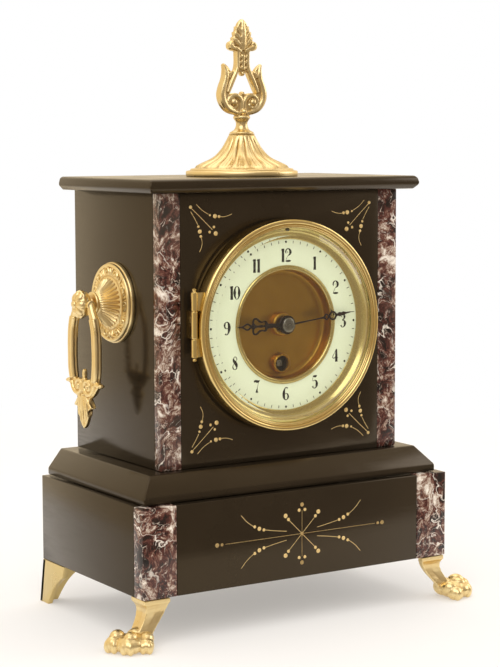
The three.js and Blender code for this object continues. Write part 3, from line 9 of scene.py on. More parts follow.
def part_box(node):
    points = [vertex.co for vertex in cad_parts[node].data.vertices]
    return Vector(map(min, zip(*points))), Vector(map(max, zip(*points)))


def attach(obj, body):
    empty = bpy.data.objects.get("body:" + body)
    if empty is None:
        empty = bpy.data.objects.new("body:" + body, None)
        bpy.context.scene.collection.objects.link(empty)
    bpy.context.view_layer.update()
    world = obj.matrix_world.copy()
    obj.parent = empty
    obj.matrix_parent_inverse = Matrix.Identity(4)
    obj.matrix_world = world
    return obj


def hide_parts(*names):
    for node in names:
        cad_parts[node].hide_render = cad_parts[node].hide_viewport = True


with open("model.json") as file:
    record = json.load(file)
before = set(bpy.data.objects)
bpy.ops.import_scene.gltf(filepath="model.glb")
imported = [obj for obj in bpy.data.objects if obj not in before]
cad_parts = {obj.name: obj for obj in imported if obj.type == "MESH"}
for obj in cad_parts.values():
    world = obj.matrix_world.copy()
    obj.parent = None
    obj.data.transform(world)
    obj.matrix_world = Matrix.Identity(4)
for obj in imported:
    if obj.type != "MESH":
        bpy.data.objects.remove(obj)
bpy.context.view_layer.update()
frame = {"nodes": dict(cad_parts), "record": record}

milli = 0.001
fullTurn = 2 * math.pi
roundSteps = 160  # sides of everything turned about the dial's axis


def middleOf(node):
    low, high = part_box(node)
    return (low + high) / 2 / milli


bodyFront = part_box("body_front_panel")[0].y / milli
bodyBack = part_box("body_back_panel")[1].y / milli
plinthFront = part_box("base_front_panel")[0].y / milli
dialAxis = middleOf("bezel_glass")


def turnAbout(axis, degrees):
    return Matrix.Rotation(math.radians(degrees), 4, axis)


def shift(x=0, y=0, z=0):
    return Matrix.Translation((x, y, z))


def resize(x=1, y=1, z=1):
    return Matrix.Diagonal((x, y, z, 1))


toFront = turnAbout("X", 90)  # turns a shape whose Z points outwards to face the front of the clock
onDial = shift(dialAxis.x, bodyFront, dialAxis.z) @ toFront

# Shapes are drawn in millimetres


def everything(shape):
    return shape.verts[:] + shape.edges[:] + shape.faces[:]


def faceOut(shape):
    bmesh.ops.recalc_face_normals(shape, faces=shape.faces[:])
    return shape


def asMesh(name, shape):
    mesh = bpy.data.meshes.new(name)
    shape.to_mesh(mesh)
    shape.free()
    return mesh


def addObject(name, data):
    holder = bpy.data.objects.new(name, data)
    bpy.context.collection.objects.link(holder)
    return holder


def turnProfile(profile, steps):  # (radius, height) about Z, from axis to axis or a closed ring
    shape = bmesh.new()
    corners = [shape.verts.new((radius, 0, height)) for radius, height in profile]
    edges = [shape.edges.new(pair) for pair in zip(corners, corners[1:])]
    if profile[0][0] > 0:
        edges.append(shape.edges.new((corners[-1], corners[0])))
    bmesh.ops.spin(shape, geom=corners + edges, axis=(0, 0, 1), angle=fullTurn, steps=steps, use_merge=True)
    bmesh.ops.remove_doubles(shape, verts=shape.verts[:], dist=0.001)
    return faceOut(shape)


def arc(x, y, radius, start, end, steps):
    angles = [math.radians(start + (end - start) * i / steps) for i in range(steps + 1)]
    return [(x + radius * math.cos(a), y + radius * math.sin(a)) for a in angles]


def addShape(shape, other, place=Matrix()):
    other.transform(place)
    if place.determinant() < 0:
        bmesh.ops.reverse_faces(other, faces=other.faces[:])
    mesh = asMesh("part", other)
    shape.from_mesh(mesh)
    bpy.data.meshes.remove(mesh)
    return shape


def addBall(shape, centre, size, turn=Matrix(), rings=10):
    place = shift(*centre) @ turn @ resize(*size)
    bmesh.ops.create_uvsphere(shape, u_segments=2 * rings, v_segments=rings, radius=1, matrix=place)


def addBlock(shape, low, high):
    middle = (Vector(low) + Vector(high)) / 2
    bmesh.ops.create_cube(shape, size=1, matrix=shift(*middle) @ resize(*(Vector(high) - Vector(low))))


def addDrum(shape, centre, radius, depth, turn=Matrix(), steps=32):
    ends = {"radius1": radius, "radius2": radius, "depth": depth, "segments": steps}
    bmesh.ops.create_cone(shape, cap_ends=True, cap_tris=False, matrix=shift(*centre) @ turn, **ends)


def mirrorShape(shape, axis="X"):
    bmesh.ops.mirror(shape, geom=everything(shape), axis=axis, merge_dist=-1)
    return faceOut(shape)


def evaluatedShape(holder):
    graph = bpy.context.evaluated_depsgraph_get()
    mesh = bpy.data.meshes.new_from_object(holder.evaluated_get(graph))
    shape = bmesh.new()
    shape.from_mesh(mesh)
    data = holder.data
    bpy.data.objects.remove(holder)
    bpy.data.meshes.remove(mesh)
    (bpy.data.meshes if isinstance(data, bpy.types.Mesh) else bpy.data.curves).remove(data)
    return shape


def drawCurve(paths, settings, cyclic):
    curve = bpy.data.curves.new("drawing", "CURVE")
    for key, value in settings.items():
        setattr(curve, key, value)
    for path in paths:
        spline = curve.splines.new("BEZIER")
        spline.use_cyclic_u = cyclic
        spline.bezier_points.add(len(path) - 1)
        for knot, (place, radius, kind) in zip(spline.bezier_points, path):
            knot.co = place
            knot.radius = radius
            knot.handle_left_type = knot.handle_right_type = kind
    shape = evaluatedShape(addObject("drawing", curve))
    bmesh.ops.remove_doubles(shape, verts=shape.verts[:], dist=0.0005)
    return faceOut(shape)


def drawRods(paths, sides=2, detail=5):  # smooth round rods through (x, y, z, radius)
    knots = [[((x, y, z), radius, "AUTO") for x, y, z, radius in path] for path in paths]
    settings = {"dimensions": "3D", "bevel_depth": 1, "bevel_resolution": sides}
    settings |= {"resolution_u": detail, "use_fill_caps": True}
    return drawCurve(knots, settings, False)


def atDepth(rods, depth=0):  # rods for drawRods, from (x, y, radius)
    return [[(x, y, depth, radius) for x, y, radius in rod] for rod in rods]


def drawPlate(outlines, halfDepth, rounding=0, detail=4):  # (x, y), or (x, y, 1) for a sharp corner
    knots = [[((p[0], p[1], 0), 1, "VECTOR" if len(p) > 2 else "AUTO") for p in outline] for outline in outlines]
    settings = {"dimensions": "2D", "fill_mode": "BOTH", "resolution_u": detail, "bevel_resolution": 1}
    settings |= {"extrude": halfDepth - rounding, "bevel_depth": rounding, "offset": -rounding}
    return drawCurve(knots, settings, True)


def bothSides(half):  # an outline from its right half, foot to top
    other = [(-p[0], *p[1:]) for p in reversed(half) if p[0] > 0]
    return half + other


def castTogether(shape, grain, smoothing):  # overlapping solids become one skin, as in a casting
    holder = addObject("casting", asMesh("casting", shape))
    fuse = holder.modifiers.new("fuse", "REMESH")
    fuse.mode = "VOXEL"
    fuse.voxel_size = grain
    soften = holder.modifiers.new("soften", "SMOOTH")
    soften.factor = 0.5
    soften.iterations = smoothing
    return evaluatedShape(holder)


def finishPiece(name, shape, look, place=Matrix(), replaces=(), body="case", sharp=40, edge=0):
    shape.transform(Matrix.Scale(milli, 4) @ place)
    if place.determinant() < 0:
        bmesh.ops.reverse_faces(shape, faces=shape.faces[:])
    mesh = asMesh(name, shape)
    mesh.polygons.foreach_set("use_smooth", [True] * len(mesh.polygons))
    mesh.set_sharp_from_angle(angle=math.radians(sharp))
    mesh.materials.append(look)
    piece = addObject(name, mesh)
    if edge > 0:
        soften = piece.modifiers.new("soft edge", "BEVEL")
        soften.width = edge * milli
        soften.segments = 2
        soften.limit_method = "ANGLE"
        soften.angle_limit = math.radians(35)
    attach(piece, body)
    if replaces:
        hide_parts(*replaces)
    return piece


# Materials. A noise's scale is in waves per metre: 1000 divided by a real size in millimetres.


def toLinear(code):
    parts = [int(code[i : i + 2], 16) / 255 for i in (1, 3, 5)]
    return (*[c / 12.92 if c <= 0.04045 else ((c + 0.055) / 1.055) ** 2.4 for c in parts], 1)


def addNode(tree, kind, settings=None, links=None):  # a node as a link's source stands for its first live output
    node = tree.nodes.new("ShaderNode" + kind)
    for key, value in (settings or {}).items():
        if isinstance(value, str) and value.startswith("#"):
            value = toLinear(value)
        if isinstance(key, int) or key in node.inputs:
            node.inputs[key].default_value = value
        else:
            setattr(node, key, value)
    for key, source in (links or {}).items():
        if isinstance(source, bpy.types.Node):
            source = next(socket for socket in source.outputs if socket.enabled)
        tree.links.new(source, node.inputs[key])
    return node


def makeLook(name, recipe):  # a recipe adds the nodes and returns the last of them
    look = bpy.data.materials.new(name)
    look.use_nodes = True
    tree = look.node_tree
    tree.nodes.clear()
    surface = recipe(tree, addNode(tree, "TexCoord").outputs["Object"])
    addNode(tree, "OutputMaterial", links={"Surface": surface})
    return look


def stainAndSheen(tree, stain, tones, roughness):  # one stain turns both the colour and the roughness
    tone = addNode(tree, "Mix", {"data_type": "RGBA", 6: tones[0], 7: tones[1]}, {0: stain})
    span = {"From Min": 0.3, "From Max": 0.7, "To Min": roughness[0], "To Max": roughness[1]}
    return {"Base Color": tone, "Roughness": addNode(tree, "MapRange", span, {"Value": stain})}


def polishedSlate(tree, where):
    # Belgian black slate, rubbed down and waxed: near black, a soft mirror with faint clouds and hair scratches. Its
    # reflections are tinted warm: painted light that stands in for warm light around the clock
    colours = {"stone": "#19140e", "cloud": "#282118", "paintedWarmReflection": "#ffe4bc"}
    cloud = addNode(tree, "TexNoise", {"Scale": 22, "Detail": 5, "Roughness": 0.6}, {"Vector": where})
    tone = addNode(tree, "Mix", {"data_type": "RGBA", 6: colours["stone"], 7: colours["cloud"]}, {0: cloud})
    rubbing = addNode(tree, "Mapping", {"Scale": (60, 60, 900)}, {"Vector": where})
    hairs = addNode(tree, "TexNoise", {"Scale": 1, "Detail": 3}, {"Vector": rubbing})
    span = {"From Min": 0.3, "From Max": 0.7, "To Min": 0.13, "To Max": 0.24}
    sheen = addNode(tree, "MapRange", span, {"Value": hairs})
    swell = addNode(tree, "TexNoise", {"Scale": 40, "Detail": 2}, {"Vector": where})
    grit = addNode(tree, "TexNoise", {"Scale": 1400, "Detail": 2}, {"Vector": where})
    uneven = addNode(tree, "Bump", {"Strength": 0.12, "Distance": 0.0006}, {"Height": swell})
    grain = addNode(tree, "Bump", {"Strength": 0.04, "Distance": 0.0001}, {"Height": grit, "Normal": uneven})
    surface = {"Base Color": tone, "Roughness": sheen, "Normal": grain}
    # painted reflection colour: the specular tint warms every reflection on the stone, in place of warm surroundings
    return addNode(tree, "BsdfPrincipled", {"IOR": 1.5, "Specular Tint": colours["paintedWarmReflection"]}, surface)


def redMarble(tree, where):
    # Rosso Levanto, sawn and polished: maroon and near-black clouds, torn by streaks and a net of white calcite
    clouds = [(0.37, "#110c0a"), (0.44, "#291712"), (0.49, "#4c251f"), (0.53, "#6a4336"), (0.565, "#98806f"),
              (0.605, "#cdbfb0"), (0.66, "#efe6da")]
    veins = [(170, 0.02, 0.8, "#c4b5a6"), (44, 0.013, 0.95, "#e4dacd")]  # scale, width, strength, colour
    push = where
    for scale, reach in ((26, 0.05), (140, 0.007)):  # a wide drift, then a ripple
        drift = addNode(tree, "TexNoise", {"Scale": scale, "Detail": 3}, {"Vector": where})
        bend = {"operation": "MULTIPLY_ADD", 1: (reach, reach, reach)}
        push = addNode(tree, "VectorMath", bend, {0: drift.outputs["Color"], 2: push})
    # clouds some 12 mm across, ragged down to a tenth of a millimetre
    mass = addNode(tree, "TexNoise", {"Scale": 95, "Detail": 11, "Roughness": 0.74}, {"Vector": push})
    ramp = addNode(tree, "ValToRGB", links={"Fac": mass})
    stops = ramp.color_ramp.elements
    for index, (spot, code) in enumerate(clouds):
        stop = stops[index] if index < 2 else stops.new(spot)
        stop.position = spot
        stop.color = toLinear(code)
    # faint grey beds some 40 mm across
    broad = addNode(tree, "TexNoise", {"Scale": 24, "Detail": 2}, {"Vector": where})
    bed = addNode(tree, "MapRange", {"From Min": 0.5, "From Max": 0.66, "To Max": 0.15}, {"Value": broad})
    tone = addNode(tree, "Mix", {"data_type": "RGBA", 7: "#6c6357"}, {0: bed, 6: ramp})
    # a vein runs where a noise passes its middle value: fine ones 4 mm apart, wide ones 15 mm
    for scale, width, strength, colour in veins:
        wander = addNode(tree, "TexNoise", {"Scale": scale, "Detail": 3}, {"Vector": push})
        centred = addNode(tree, "Math", {"operation": "SUBTRACT", 1: 0.5}, {0: wander})
        off = addNode(tree, "Math", {"operation": "ABSOLUTE"}, {0: centred})
        span = {"From Min": 0.2 * width, "From Max": width, "To Min": strength, "To Max": 0}
        line = addNode(tree, "MapRange", span, {"Value": off})
        gaps = addNode(tree, "TexNoise", {"Scale": 1.6 * scale, "Detail": 4}, {"Vector": where})
        broken = addNode(tree, "MapRange", {"From Min": 0.42, "From Max": 0.56}, {"Value": gaps})
        share = addNode(tree, "Math", {"operation": "MULTIPLY"}, {0: line, 1: broken})
        tone = addNode(tree, "Mix", {"data_type": "RGBA", 7: colour}, {0: share, 6: tone})
    pits = addNode(tree, "Bump", {"Strength": 0.06, "Distance": 0.0002}, {"Height": mass})
    return addNode(tree, "BsdfPrincipled", {"IOR": 1.5, "Roughness": 0.2}, {"Base Color": tone, "Normal": pits})


def castGilt(tree, where):
    # Cast brass, gilded and burnished on the heights, with a fine sand-cast grain. Its hollows and creases are painted
    # a darker brown from pointiness: painted shade
    crease = addNode(tree, "NewGeometry").outputs["Pointiness"]
    height = addNode(tree, "MapRange", {"From Min": 0.42, "From Max": 0.51}, {"Value": crease})
    wear = addNode(tree, "TexNoise", {"Scale": 160, "Detail": 5, "Roughness": 0.6}, {"Vector": where})
    surface = stainAndSheen(tree, wear, ("#ecd08e", "#f6e7ba"), (0.26, 0.4))
    # painted shade: where the surface curves inwards the gold gives way to brown, standing in for shade in creases and
    # hollows
    hollow = {"data_type": "RGBA", 6: "#a5773a"}
    surface["Base Color"] = addNode(tree, "Mix", hollow, {0: height, 7: surface["Base Color"]})
    sand = addNode(tree, "TexNoise", {"Scale": 1100, "Detail": 3}, {"Vector": where})
    surface["Normal"] = addNode(tree, "Bump", {"Strength": 0.18, "Distance": 0.00025}, {"Height": sand})
    return addNode(tree, "BsdfPrincipled", {"Metallic": 1}, surface)


def spunBrass(tree, where):
    # Brass sheet spun on a lathe and lacquered: fine rings about the dial's axis that drag the highlights out
    onAxis = {"Location": (-dialAxis.x * milli, 0, -dialAxis.z * milli), "Scale": (1, 0, 1)}
    centred = addNode(tree, "Mapping", onAxis, {"Vector": where})
    # rings 0.5 mm apart, coarser than a turner's, so that they show
    turning = {"wave_type": "RINGS", "rings_direction": "SPHERICAL", "Scale": 620, "Distortion": 0.6}
    rings = addNode(tree, "TexWave", turning, {"Vector": centred}).outputs["Fac"]
    stain = addNode(tree, "TexNoise", {"Scale": 70, "Detail": 5, "Roughness": 0.6}, {"Vector": where})
    surface = stainAndSheen(tree, stain, ("#f1dfa2", "#dfbe74"), (0.14, 0.26))
    surface["Normal"] = addNode(tree, "Bump", {"Strength": 0.06, "Distance": 0.0002}, {"Height": rings})
    return addNode(tree, "BsdfPrincipled", {"Metallic": 1}, surface)


def bevelledGlass(tree, where):
    # Crown glass with a ground and polished bevel: clear, with a faint green edge
    crown = {"Base Color": "#f6fbf6", "Roughness": 0, "IOR": 1.5, "Transmission Weight": 1}
    shader = addNode(tree, "BsdfPrincipled", crown)
    clear = addNode(tree, "BsdfTransparent")
    path = addNode(tree, "LightPath").outputs
    # soft light reaches the dial through it
    soft = {0: path["Is Shadow Ray"], 1: path["Is Diffuse Ray"]}
    unbent = addNode(tree, "Math", {"operation": "MAXIMUM"}, soft)
    return addNode(tree, "MixShader", links={0: unbent, 1: shader, 2: clear})


def plainLook(name, tones, metallic, roughness, scale, depth, stretch=(1, 1, 1)):
    def recipe(tree, where):
        drawn = addNode(tree, "Mapping", {"Scale": stretch}, {"Vector": where})
        stain = addNode(tree, "TexNoise", {"Scale": scale, "Detail": 5}, {"Vector": drawn})
        surface = stainAndSheen(tree, stain, tones, roughness)
        fine = addNode(tree, "TexNoise", {"Scale": 8 * scale, "Detail": 3}, {"Vector": drawn})
        surface["Normal"] = addNode(tree, "Bump", {"Strength": depth, "Distance": 0.0002}, {"Height": fine})
        return addNode(tree, "BsdfPrincipled", {"Metallic": metallic}, surface)

    return makeLook(name, recipe)


slate = makeLook("polished black slate", polishedSlate)
marble = makeLook("polished red marble", redMarble)
gilt = makeLook("cast gilt brass", castGilt)
spun = makeLook("spun and lacquered brass", spunBrass)
glass = makeLook("bevelled glass", bevelledGlass)
# Fired enamel on copper: a cool greenish white with a wet gloss
enamel = plainLook("fired enamel", ("#dfe4c2", "#e8ebd0"), 0, (0.1, 0.16), 60, 0.02)
# Brass dulled by mercury gilding: a soft brown-gold that spreads the light
panGilt = plainLook("matt gilt brass", ("#b0812f", "#c9993e"), 1, (0.28, 0.4), 90, 0.1)
# Steel blued by heat and dulled with age: dark brown to violet
blued = plainLook("blued steel", ("#2c2426", "#453733"), 1, (0.25, 0.4), 300, 0.05)
# Turned and polished steel with a little tarnish
steel = plainLook("polished steel", ("#75706a", "#9a948c"), 1, (0.24, 0.38), 240, 0.05)
# Rolled clock brass, straight grained with emery
movementBrass = plainLook("grained clock brass", ("#c79c4e", "#dcb869"), 1, (0.26, 0.4), 40, 0.12, (1, 1, 12))
# Gold size and leaf laid in cut lines: warm, broken and half dull
goldLeaf = plainLook("gold leaf in cut lines", ("#dcb870", "#f3dca4"), 0.6, (0.36, 0.5), 500, 0.1)
# Vitrifiable black, fired on the enamel
figureBlack = plainLook("fired black figures", ("#120f0d", "#1d1916"), 0, (0.2, 0.3), 400, 0.03)
# Brass sheet cut and filed by hand, left with a grey-gold bloom
filedBrass = plainLook("filed sheet brass", ("#cdb57a", "#e2cf98"), 1, (0.24, 0.36), 60, 0.08)
print("materials are ready")

# Stones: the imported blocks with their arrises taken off
stones = {"arris": 0.35, "slabArris": 0.8, "flat": 1, "corner": 20}


def softenStone(node, look, arris, steps):
    shape = bmesh.new()
    shape.from_mesh(frame["nodes"][node].data)
    bmesh.ops.remove_doubles(shape, verts=shape.verts[:], dist=1e-6)
    flat = math.radians(stones["flat"])
    bmesh.ops.dissolve_limit(shape, angle_limit=flat, verts=shape.verts[:], edges=shape.edges[:])
    corner = math.radians(stones["corner"])
    sharp = [e for e in shape.edges if e.is_manifold and e.calc_face_angle(0) > corner]
    form = {"affect": "EDGES", "segments": steps, "profile": 0.5, "material": -1, "clamp_overlap": True}
    bmesh.ops.bevel(shape, geom=sharp, offset=arris * milli, **form)
    shape.transform(Matrix.Scale(1 / milli, 4))
    finishPiece("stone_" + node, shape, look, replaces=[node], sharp=35)


for storey in ("base", "body"):
    for side in ("front", "left", "right", "back"):
        softenStone(f"{storey}_{side}_panel", slate, stones["arris"], 2)
for node in ("chamfered_slab", "top_slab"):
    softenStone(node, slate, stones["slabArris"], 3)
for storey in ("base", "body"):
    for side in ("left", "right"):
        softenStone(f"{storey}_post_{side}", marble, stones["arris"], 2)
print("stones are cut")

# Gold lines and beads on the slate. Right-hand halves, mirrored about the middle of the dial or plinth.

gold = {"line": 0.15, "proud": 0.05, "flatten": 0.4, "dome": 1.1}
bezelSpray = {
    "lines": [
        [(61.6, 66.6), (59, 62.7), (57, 59.2)], [(54.9, 52.2), (54.2, 49.5), (54.4, 47), (55.9, 43.8)],
        [(61.3, 68.6), (54.5, 62.6), (47.4, 56.1)], [(57.9, 70.6), (54.1, 67.2), (49.9, 64.8)],
        [(42.6, 63.3), (40, 63.2), (37.5, 63.6), (34.5, 64.6)],
    ],
    "beads": [
        (61.6, 69.1, 1), (56.6, 58.1, 0.75), (55.7, 55.3, 1.25), (55, 52.5, 0.85), (46.4, 57.6, 0.8),
        (49.2, 54.8, 0.8), (45.2, 53.9, 1.35), (49, 64.3, 0.65), (45.7, 63.7, 1.3), (43, 63.4, 0.9),
    ],
}
plinthStar = {
    "height": 52.4,
    "lines": [
        [(0, 0), (0, 13.6)], [(0, 0), (9.6, 9.4)], [(0, 0), (26, 0), (52, 0)], [(10.6, 2.6), (18, 3.7), (26, 5.2)],
        [(33, 7.8), (37.5, 11), (41.5, 15.2)],
    ],
    "beads": [
        (0, 0, 1.1), (0, 17, 1.25), (2, 13.9, 1), (9.4, 9.3, 1), (11.4, 11.6, 1.35), (54.2, 0, 0.9), (57.4, 0, 1.3),
        (26.2, 5.2, 0.95), (29.3, 6.2, 1.25), (32.4, 7.7, 0.95),
    ],
}


def goldWork(name, spray, x, y, z):
    # Flattened rods are the lines and low domes are the beads, in the plane of the stone
    shape = drawRods([[(a, b, 0, gold["line"]) for a, b in line] for line in spray["lines"]])
    for a, b, radius in spray["beads"]:
        addBall(shape, (a, b, 0), (radius, radius, gold["dome"] * radius), rings=6)
    for axis in "XY":
        mirrorShape(shape, axis)
    place = shift(x, y - gold["proud"], z) @ toFront @ resize(z=gold["flatten"])
    finishPiece(name, shape, goldLeaf, place)


goldWork("gold_lines_bezel", bezelSpray, dialAxis.x, bodyFront, dialAxis.z)
goldWork("gold_lines_plinth", plinthStar, 0, plinthFront, plinthStar["height"])
print("gold lines are laid")

# Bezel ring: flange, neck, hollow sight band and the tube behind it. Height is outwards from the body's face.

bezel = {
    "front": [
        (60.4, 0.2), (60.4, 1.9), (60, 2.3), (58.3, 2.4), (57.7, 2.7), (57.5, 7.7), (57.3, 8), (56.5, 8), (56.3, 7.6),
        (56, 7.3),
    ],
    "band": {"outer": 55.8, "inner": 50.2, "rise": 7.15, "fall": 3.5, "sag": 1.15, "steps": 12},
    "rear": [
        (49.9, 3.35), (49.5, 3.1), (49.5, 2.7), (51, 2.7), (51, 0.4), (49.8, 0.4), (49.8, -11.3), (41, -11.3),
        (41, -12.9), (53, -12.9), (53, 0.2),
    ],
    "strap": {"near": 45.2, "wall": 1.8, "half": 4.5, "from": 12.1, "to": 101.7},
    "screw": {"radius": 1.15, "thick": 0.8, "place": 53.9, "height": 5, "tilt": 40},
    "slit": ((-1.2, -0.12, 0.3), (1.2, 0.12, 0.45)),
}


def bezelRing():
    band = bezel["band"]
    hollow = []
    for step in range(band["steps"] + 1):
        share = step / band["steps"]
        rise = band["rise"] + (band["fall"] - band["rise"]) * share - band["sag"] * math.sin(math.pi * share)
        hollow.append((band["outer"] + (band["inner"] - band["outer"]) * share, rise))
    shape = turnProfile(bezel["front"] + hollow + bezel["rear"], roundSteps)
    strap = bezel["strap"]
    for side in (1, -1):
        near, far = sorted((side * strap["near"], side * (strap["near"] + strap["wall"])))
        addBlock(shape, (near, -strap["half"], -strap["to"]), (far, strap["half"], -strap["from"]))
    return shape


def addPlates(shape, plates, low, high):
    for left, near, right, far in plates:
        addBlock(shape, (left, low, near), (right, high, far))


def hingeBarrel(shape, low, high, axis, radius, taper=None):
    profile = [(0, low)]
    for end, inward in ((low, 1), (high, -1)):
        tip = [(0.85, 0), (1, 0.3)]
        if end == taper:  # a finial that narrows in two steps
            tip = [(0.35, 0), (0.6, 0.3), (0.62, 0.9), (0.5, 1.3), (1, 2.4)]
        rows = [(share * radius, end + inward * along) for share, along in tip]
        profile += rows[::inward]
    barrel = turnProfile(profile + [(0, high)], 28)
    addShape(shape, barrel, shift(axis[0], 0, axis[1]) @ turnAbout("X", -90))


hinge = {
    "axis": (-63.9, 7.2),
    "radius": 1.95,
    "half": 20.5,
    "middle": 7.75,
    "rise": 3.7,
    "gap": 0.15,
    "plates": [(-65.2, 1.2, -62, 7.4), (-64.9, 0.2, -57.5, 1.7)],  # x and height, from and to
}

ring = bezelRing()
low, high = hinge["rise"] - hinge["middle"], hinge["rise"] + hinge["middle"]
hingeBarrel(ring, low, high, hinge["axis"], hinge["radius"])
addPlates(ring, hinge["plates"], low, high)
finishPiece("spun_bezel_ring", ring, spun, onDial, ["bezel_ring"], edge=0.15)

screw = bezel["screw"]
head = bmesh.new()
addDrum(head, (0, 0, 0), screw["radius"], screw["thick"], steps=20)
addBlock(head, *bezel["slit"])
tilt = shift(y=screw["place"], z=screw["height"]) @ turnAbout("X", screw["tilt"])
finishPiece("sight_band_screw", head, blued, onDial @ tilt)

# Front door: a rolled rim, a reeded face and the glass in its groove

frontDoor = {
    "profile": [
        (61.5, 2.7), (61.5, 8.7), (61.3, 9.6), (60.9, 10.35), (60.3, 10.82), (59.6, 11), (58.95, 10.82), (58.5, 10.4),
        (58.3, 9.9), (58.05, 9.9), (57.85, 10.25), (57.6, 10.35), (57.35, 10.2), (57.25, 10), (57.1, 10),
        (56.95, 10.15), (56.7, 10.2), (56.45, 10.05), (56.2, 9.8), (56.2, 9.5), (57.8, 9.5), (57.8, 7.7), (59.8, 7.2),
        (59.8, 2.7),
    ],
    "leaf": 0.7,
    "leafReach": 60.6,
    "finial": 2.4,
}


def bezelDoor():
    shape = turnProfile(frontDoor["profile"], roundSteps)
    near = hinge["middle"] + hinge["gap"]
    thick = frontDoor["leaf"]
    depth = hinge["axis"][1]
    for low, high in ((near, hinge["half"]), (-hinge["half"], -near)):
        low += hinge["rise"]
        high += hinge["rise"]
        end = high if low > hinge["rise"] else low
        hingeBarrel(shape, low, high, hinge["axis"], hinge["radius"], end)
        edge = math.sqrt(frontDoor["leafReach"] ** 2 - max(abs(low), abs(high)) ** 2)
        low, high = (low, high - frontDoor["finial"]) if end == high else (low + frontDoor["finial"], high)
        addBlock(shape, (hinge["axis"][0], low, depth - thick), (-edge, high, depth + thick))
    return shape


finishPiece("spun_front_door", bezelDoor(), spun, onDial, ["bezel_door"], "front_door", edge=0.12)

pane = {"profile": [(0, 10.8), (51.8, 10.8), (56.6, 8.8), (57.5, 8.8), (57.5, 8.3), (0, 8.3)]}
disc = turnProfile(pane["profile"], roundSteps)
finishPiece("bevelled_pane", disc, glass, onDial, ["bezel_glass"], "front_door", sharp=2)
print("bezel is turned")

# Dial. Height is outwards from the body's face.

dial = {
    "ring": [(33.6, 1.6), (33.6, 2.35), (33.9, 2.5), (50.2, 2.5), (50.6, 2.35), (50.6, 1.6)],
    "figureLift": 0.02,
    "figurePlane": 2.5,
    "figureRadius": 40.2,
    "figureHeight": 7.9,
    "tickRadius": 47.9,
    "tick": (1.6, 0.4),
    "fiveRadius": 0.7,
    "pitch": 0.52,
    "narrow": 0.36,
}
ring = turnProfile(dial["ring"], roundSteps)
finishPiece("enamel_chapter_ring", ring, enamel, onDial, ["chapter_ring"])

# Figures as pen strokes of (x, y, half width), in hundredths of the figure's height
figures = {
    "0": [[(0, 97, 2), (-13, 86, 5), (-19, 50, 12), (-13, 14, 5), (0, 3, 2), (13, 14, 5), (19, 50, 12), (13, 86, 5),
           (2, 97, 2)]],
    "1": [[(0, 1, 13), (0, 6, 11.5), (0, 30, 10.5), (0, 70, 10.5), (0, 94, 11.5), (0, 99, 12)],
          [(-6, 93, 5), (-14, 86, 4)]],
    "2": [[(-5, 72, 7), (-1, 72, 7)],
          [(-17, 62, 3), (-20, 76, 6), (-14, 90, 5), (0, 97, 3), (15, 88, 8), (21, 72, 11), (15, 56, 7), (0, 46, 2),
           (-18, 14, 2)],
          [(-22, 8, 4), (-8, 7, 7.5), (8, 7, 8), (24, 8, 5)]],
    "3": [[(-12, 82, 7.5), (-8, 84, 7)],
          [(-10, 92, 3), (4, 96, 3), (15, 82, 10), (8, 64, 5), (-4, 56, 2), (10, 52, 4), (19, 33, 12), (12, 10, 6),
           (-2, 3, 2.5), (-14, 10, 4), (-16, 19, 8)]],
    "4": [[(10, 97, 2), (-8, 66, 2), (-22, 33, 3), (0, 31, 3.5), (25, 31, 3)],
          [(10, 95, 7), (10, 70, 9.5), (10, 30, 11), (10, 6, 11), (10, 1, 14)]],
    "5": [[(-16, 93, 4), (-2, 92, 8.5), (10, 92, 8.5), (20, 96, 4)],
          [(-15, 88, 1.8), (-16, 58, 1.8), (0, 62, 3), (15, 52, 8), (19, 30, 12), (10, 8, 5), (-4, 3, 2.5),
           (-15, 10, 4), (-16, 20, 8)]],
    "6": [[(13, 87, 7.5), (4, 96, 2.5), (-10, 86, 5), (-19, 55, 12), (-18, 25, 11), (-7, 6, 4), (6, 5, 3),
           (18, 22, 8), (15, 42, 6), (3, 51, 2.5), (-10, 44, 2)]],
    "7": [[(-23, 84, 4), (-16, 93, 8), (0, 90, 10), (14, 90, 8.5), (24, 97, 3)],
          [(22, 94, 1.8), (12, 70, 1.8), (4, 42, 2.2), (0, 24, 7), (0, 7, 12)]],
    "8": [[(-13, 84, 5), (-11, 70, 9), (0, 55, 12), (11, 38, 12), (15, 20, 7)],
          [(-13, 84, 3), (0, 96, 2.5), (14, 84, 3.5), (10, 66, 2), (0, 55, 2)],
          [(0, 55, 2), (-16, 36, 2.5), (-18, 18, 4.5), (-4, 4, 2.5), (12, 10, 4), (15, 20, 5)]],
}
figures["9"] = [[(-x, 100 - y, half) for x, y, half in stroke] for stroke in figures["6"]]


def dialFigures():
    shape = bmesh.new()
    tall = dial["figureHeight"] / 100
    for hour in range(1, 13):
        text = str(hour)
        widths = [dial["narrow" if figure == "1" else "pitch"] * 100 for figure in text]
        x = -sum(widths) / 2
        angle = math.radians(90 - 30 * hour)
        centre = Vector((math.cos(angle), math.sin(angle), 0)) * dial["figureRadius"]
        for figure, width in zip(text, widths):
            strokes = [
                [((x + width / 2 + a) * tall, (b - 50) * tall, 0, half * tall) for a, b, half in stroke]
                for stroke in figures[figure]
            ]
            addShape(shape, drawRods(strokes, sides=1, detail=6), shift(*centre))
            x += width
    for minute in range(60):
        place = turnAbout("Z", -6 * minute) @ shift(y=dial["tickRadius"])
        if minute % 5 == 0:
            addDrum(shape, (0, 0, 0), dial["fiveRadius"], 1, place, 12)
        else:
            long, wide = dial["tick"]
            bmesh.ops.create_cube(shape, size=1, matrix=place @ resize(wide, long))
    return shape


flat = shift(z=dial["figurePlane"]) @ resize(z=dial["figureLift"])
finishPiece("dial_figures", dialFigures(), figureBlack, onDial @ flat)

innerRing = {"profile": [(31.5, 1.6), *arc(33, 2.05, 1.45, 180, 20, 14), (34.5, 2.55), (33.3, 2.5), (33.3, 1.6)]}
ring = turnProfile(innerRing["profile"], roundSteps)
finishPiece("gilt_inner_ring", ring, spun, onDial, ["dial_inner_ring"])

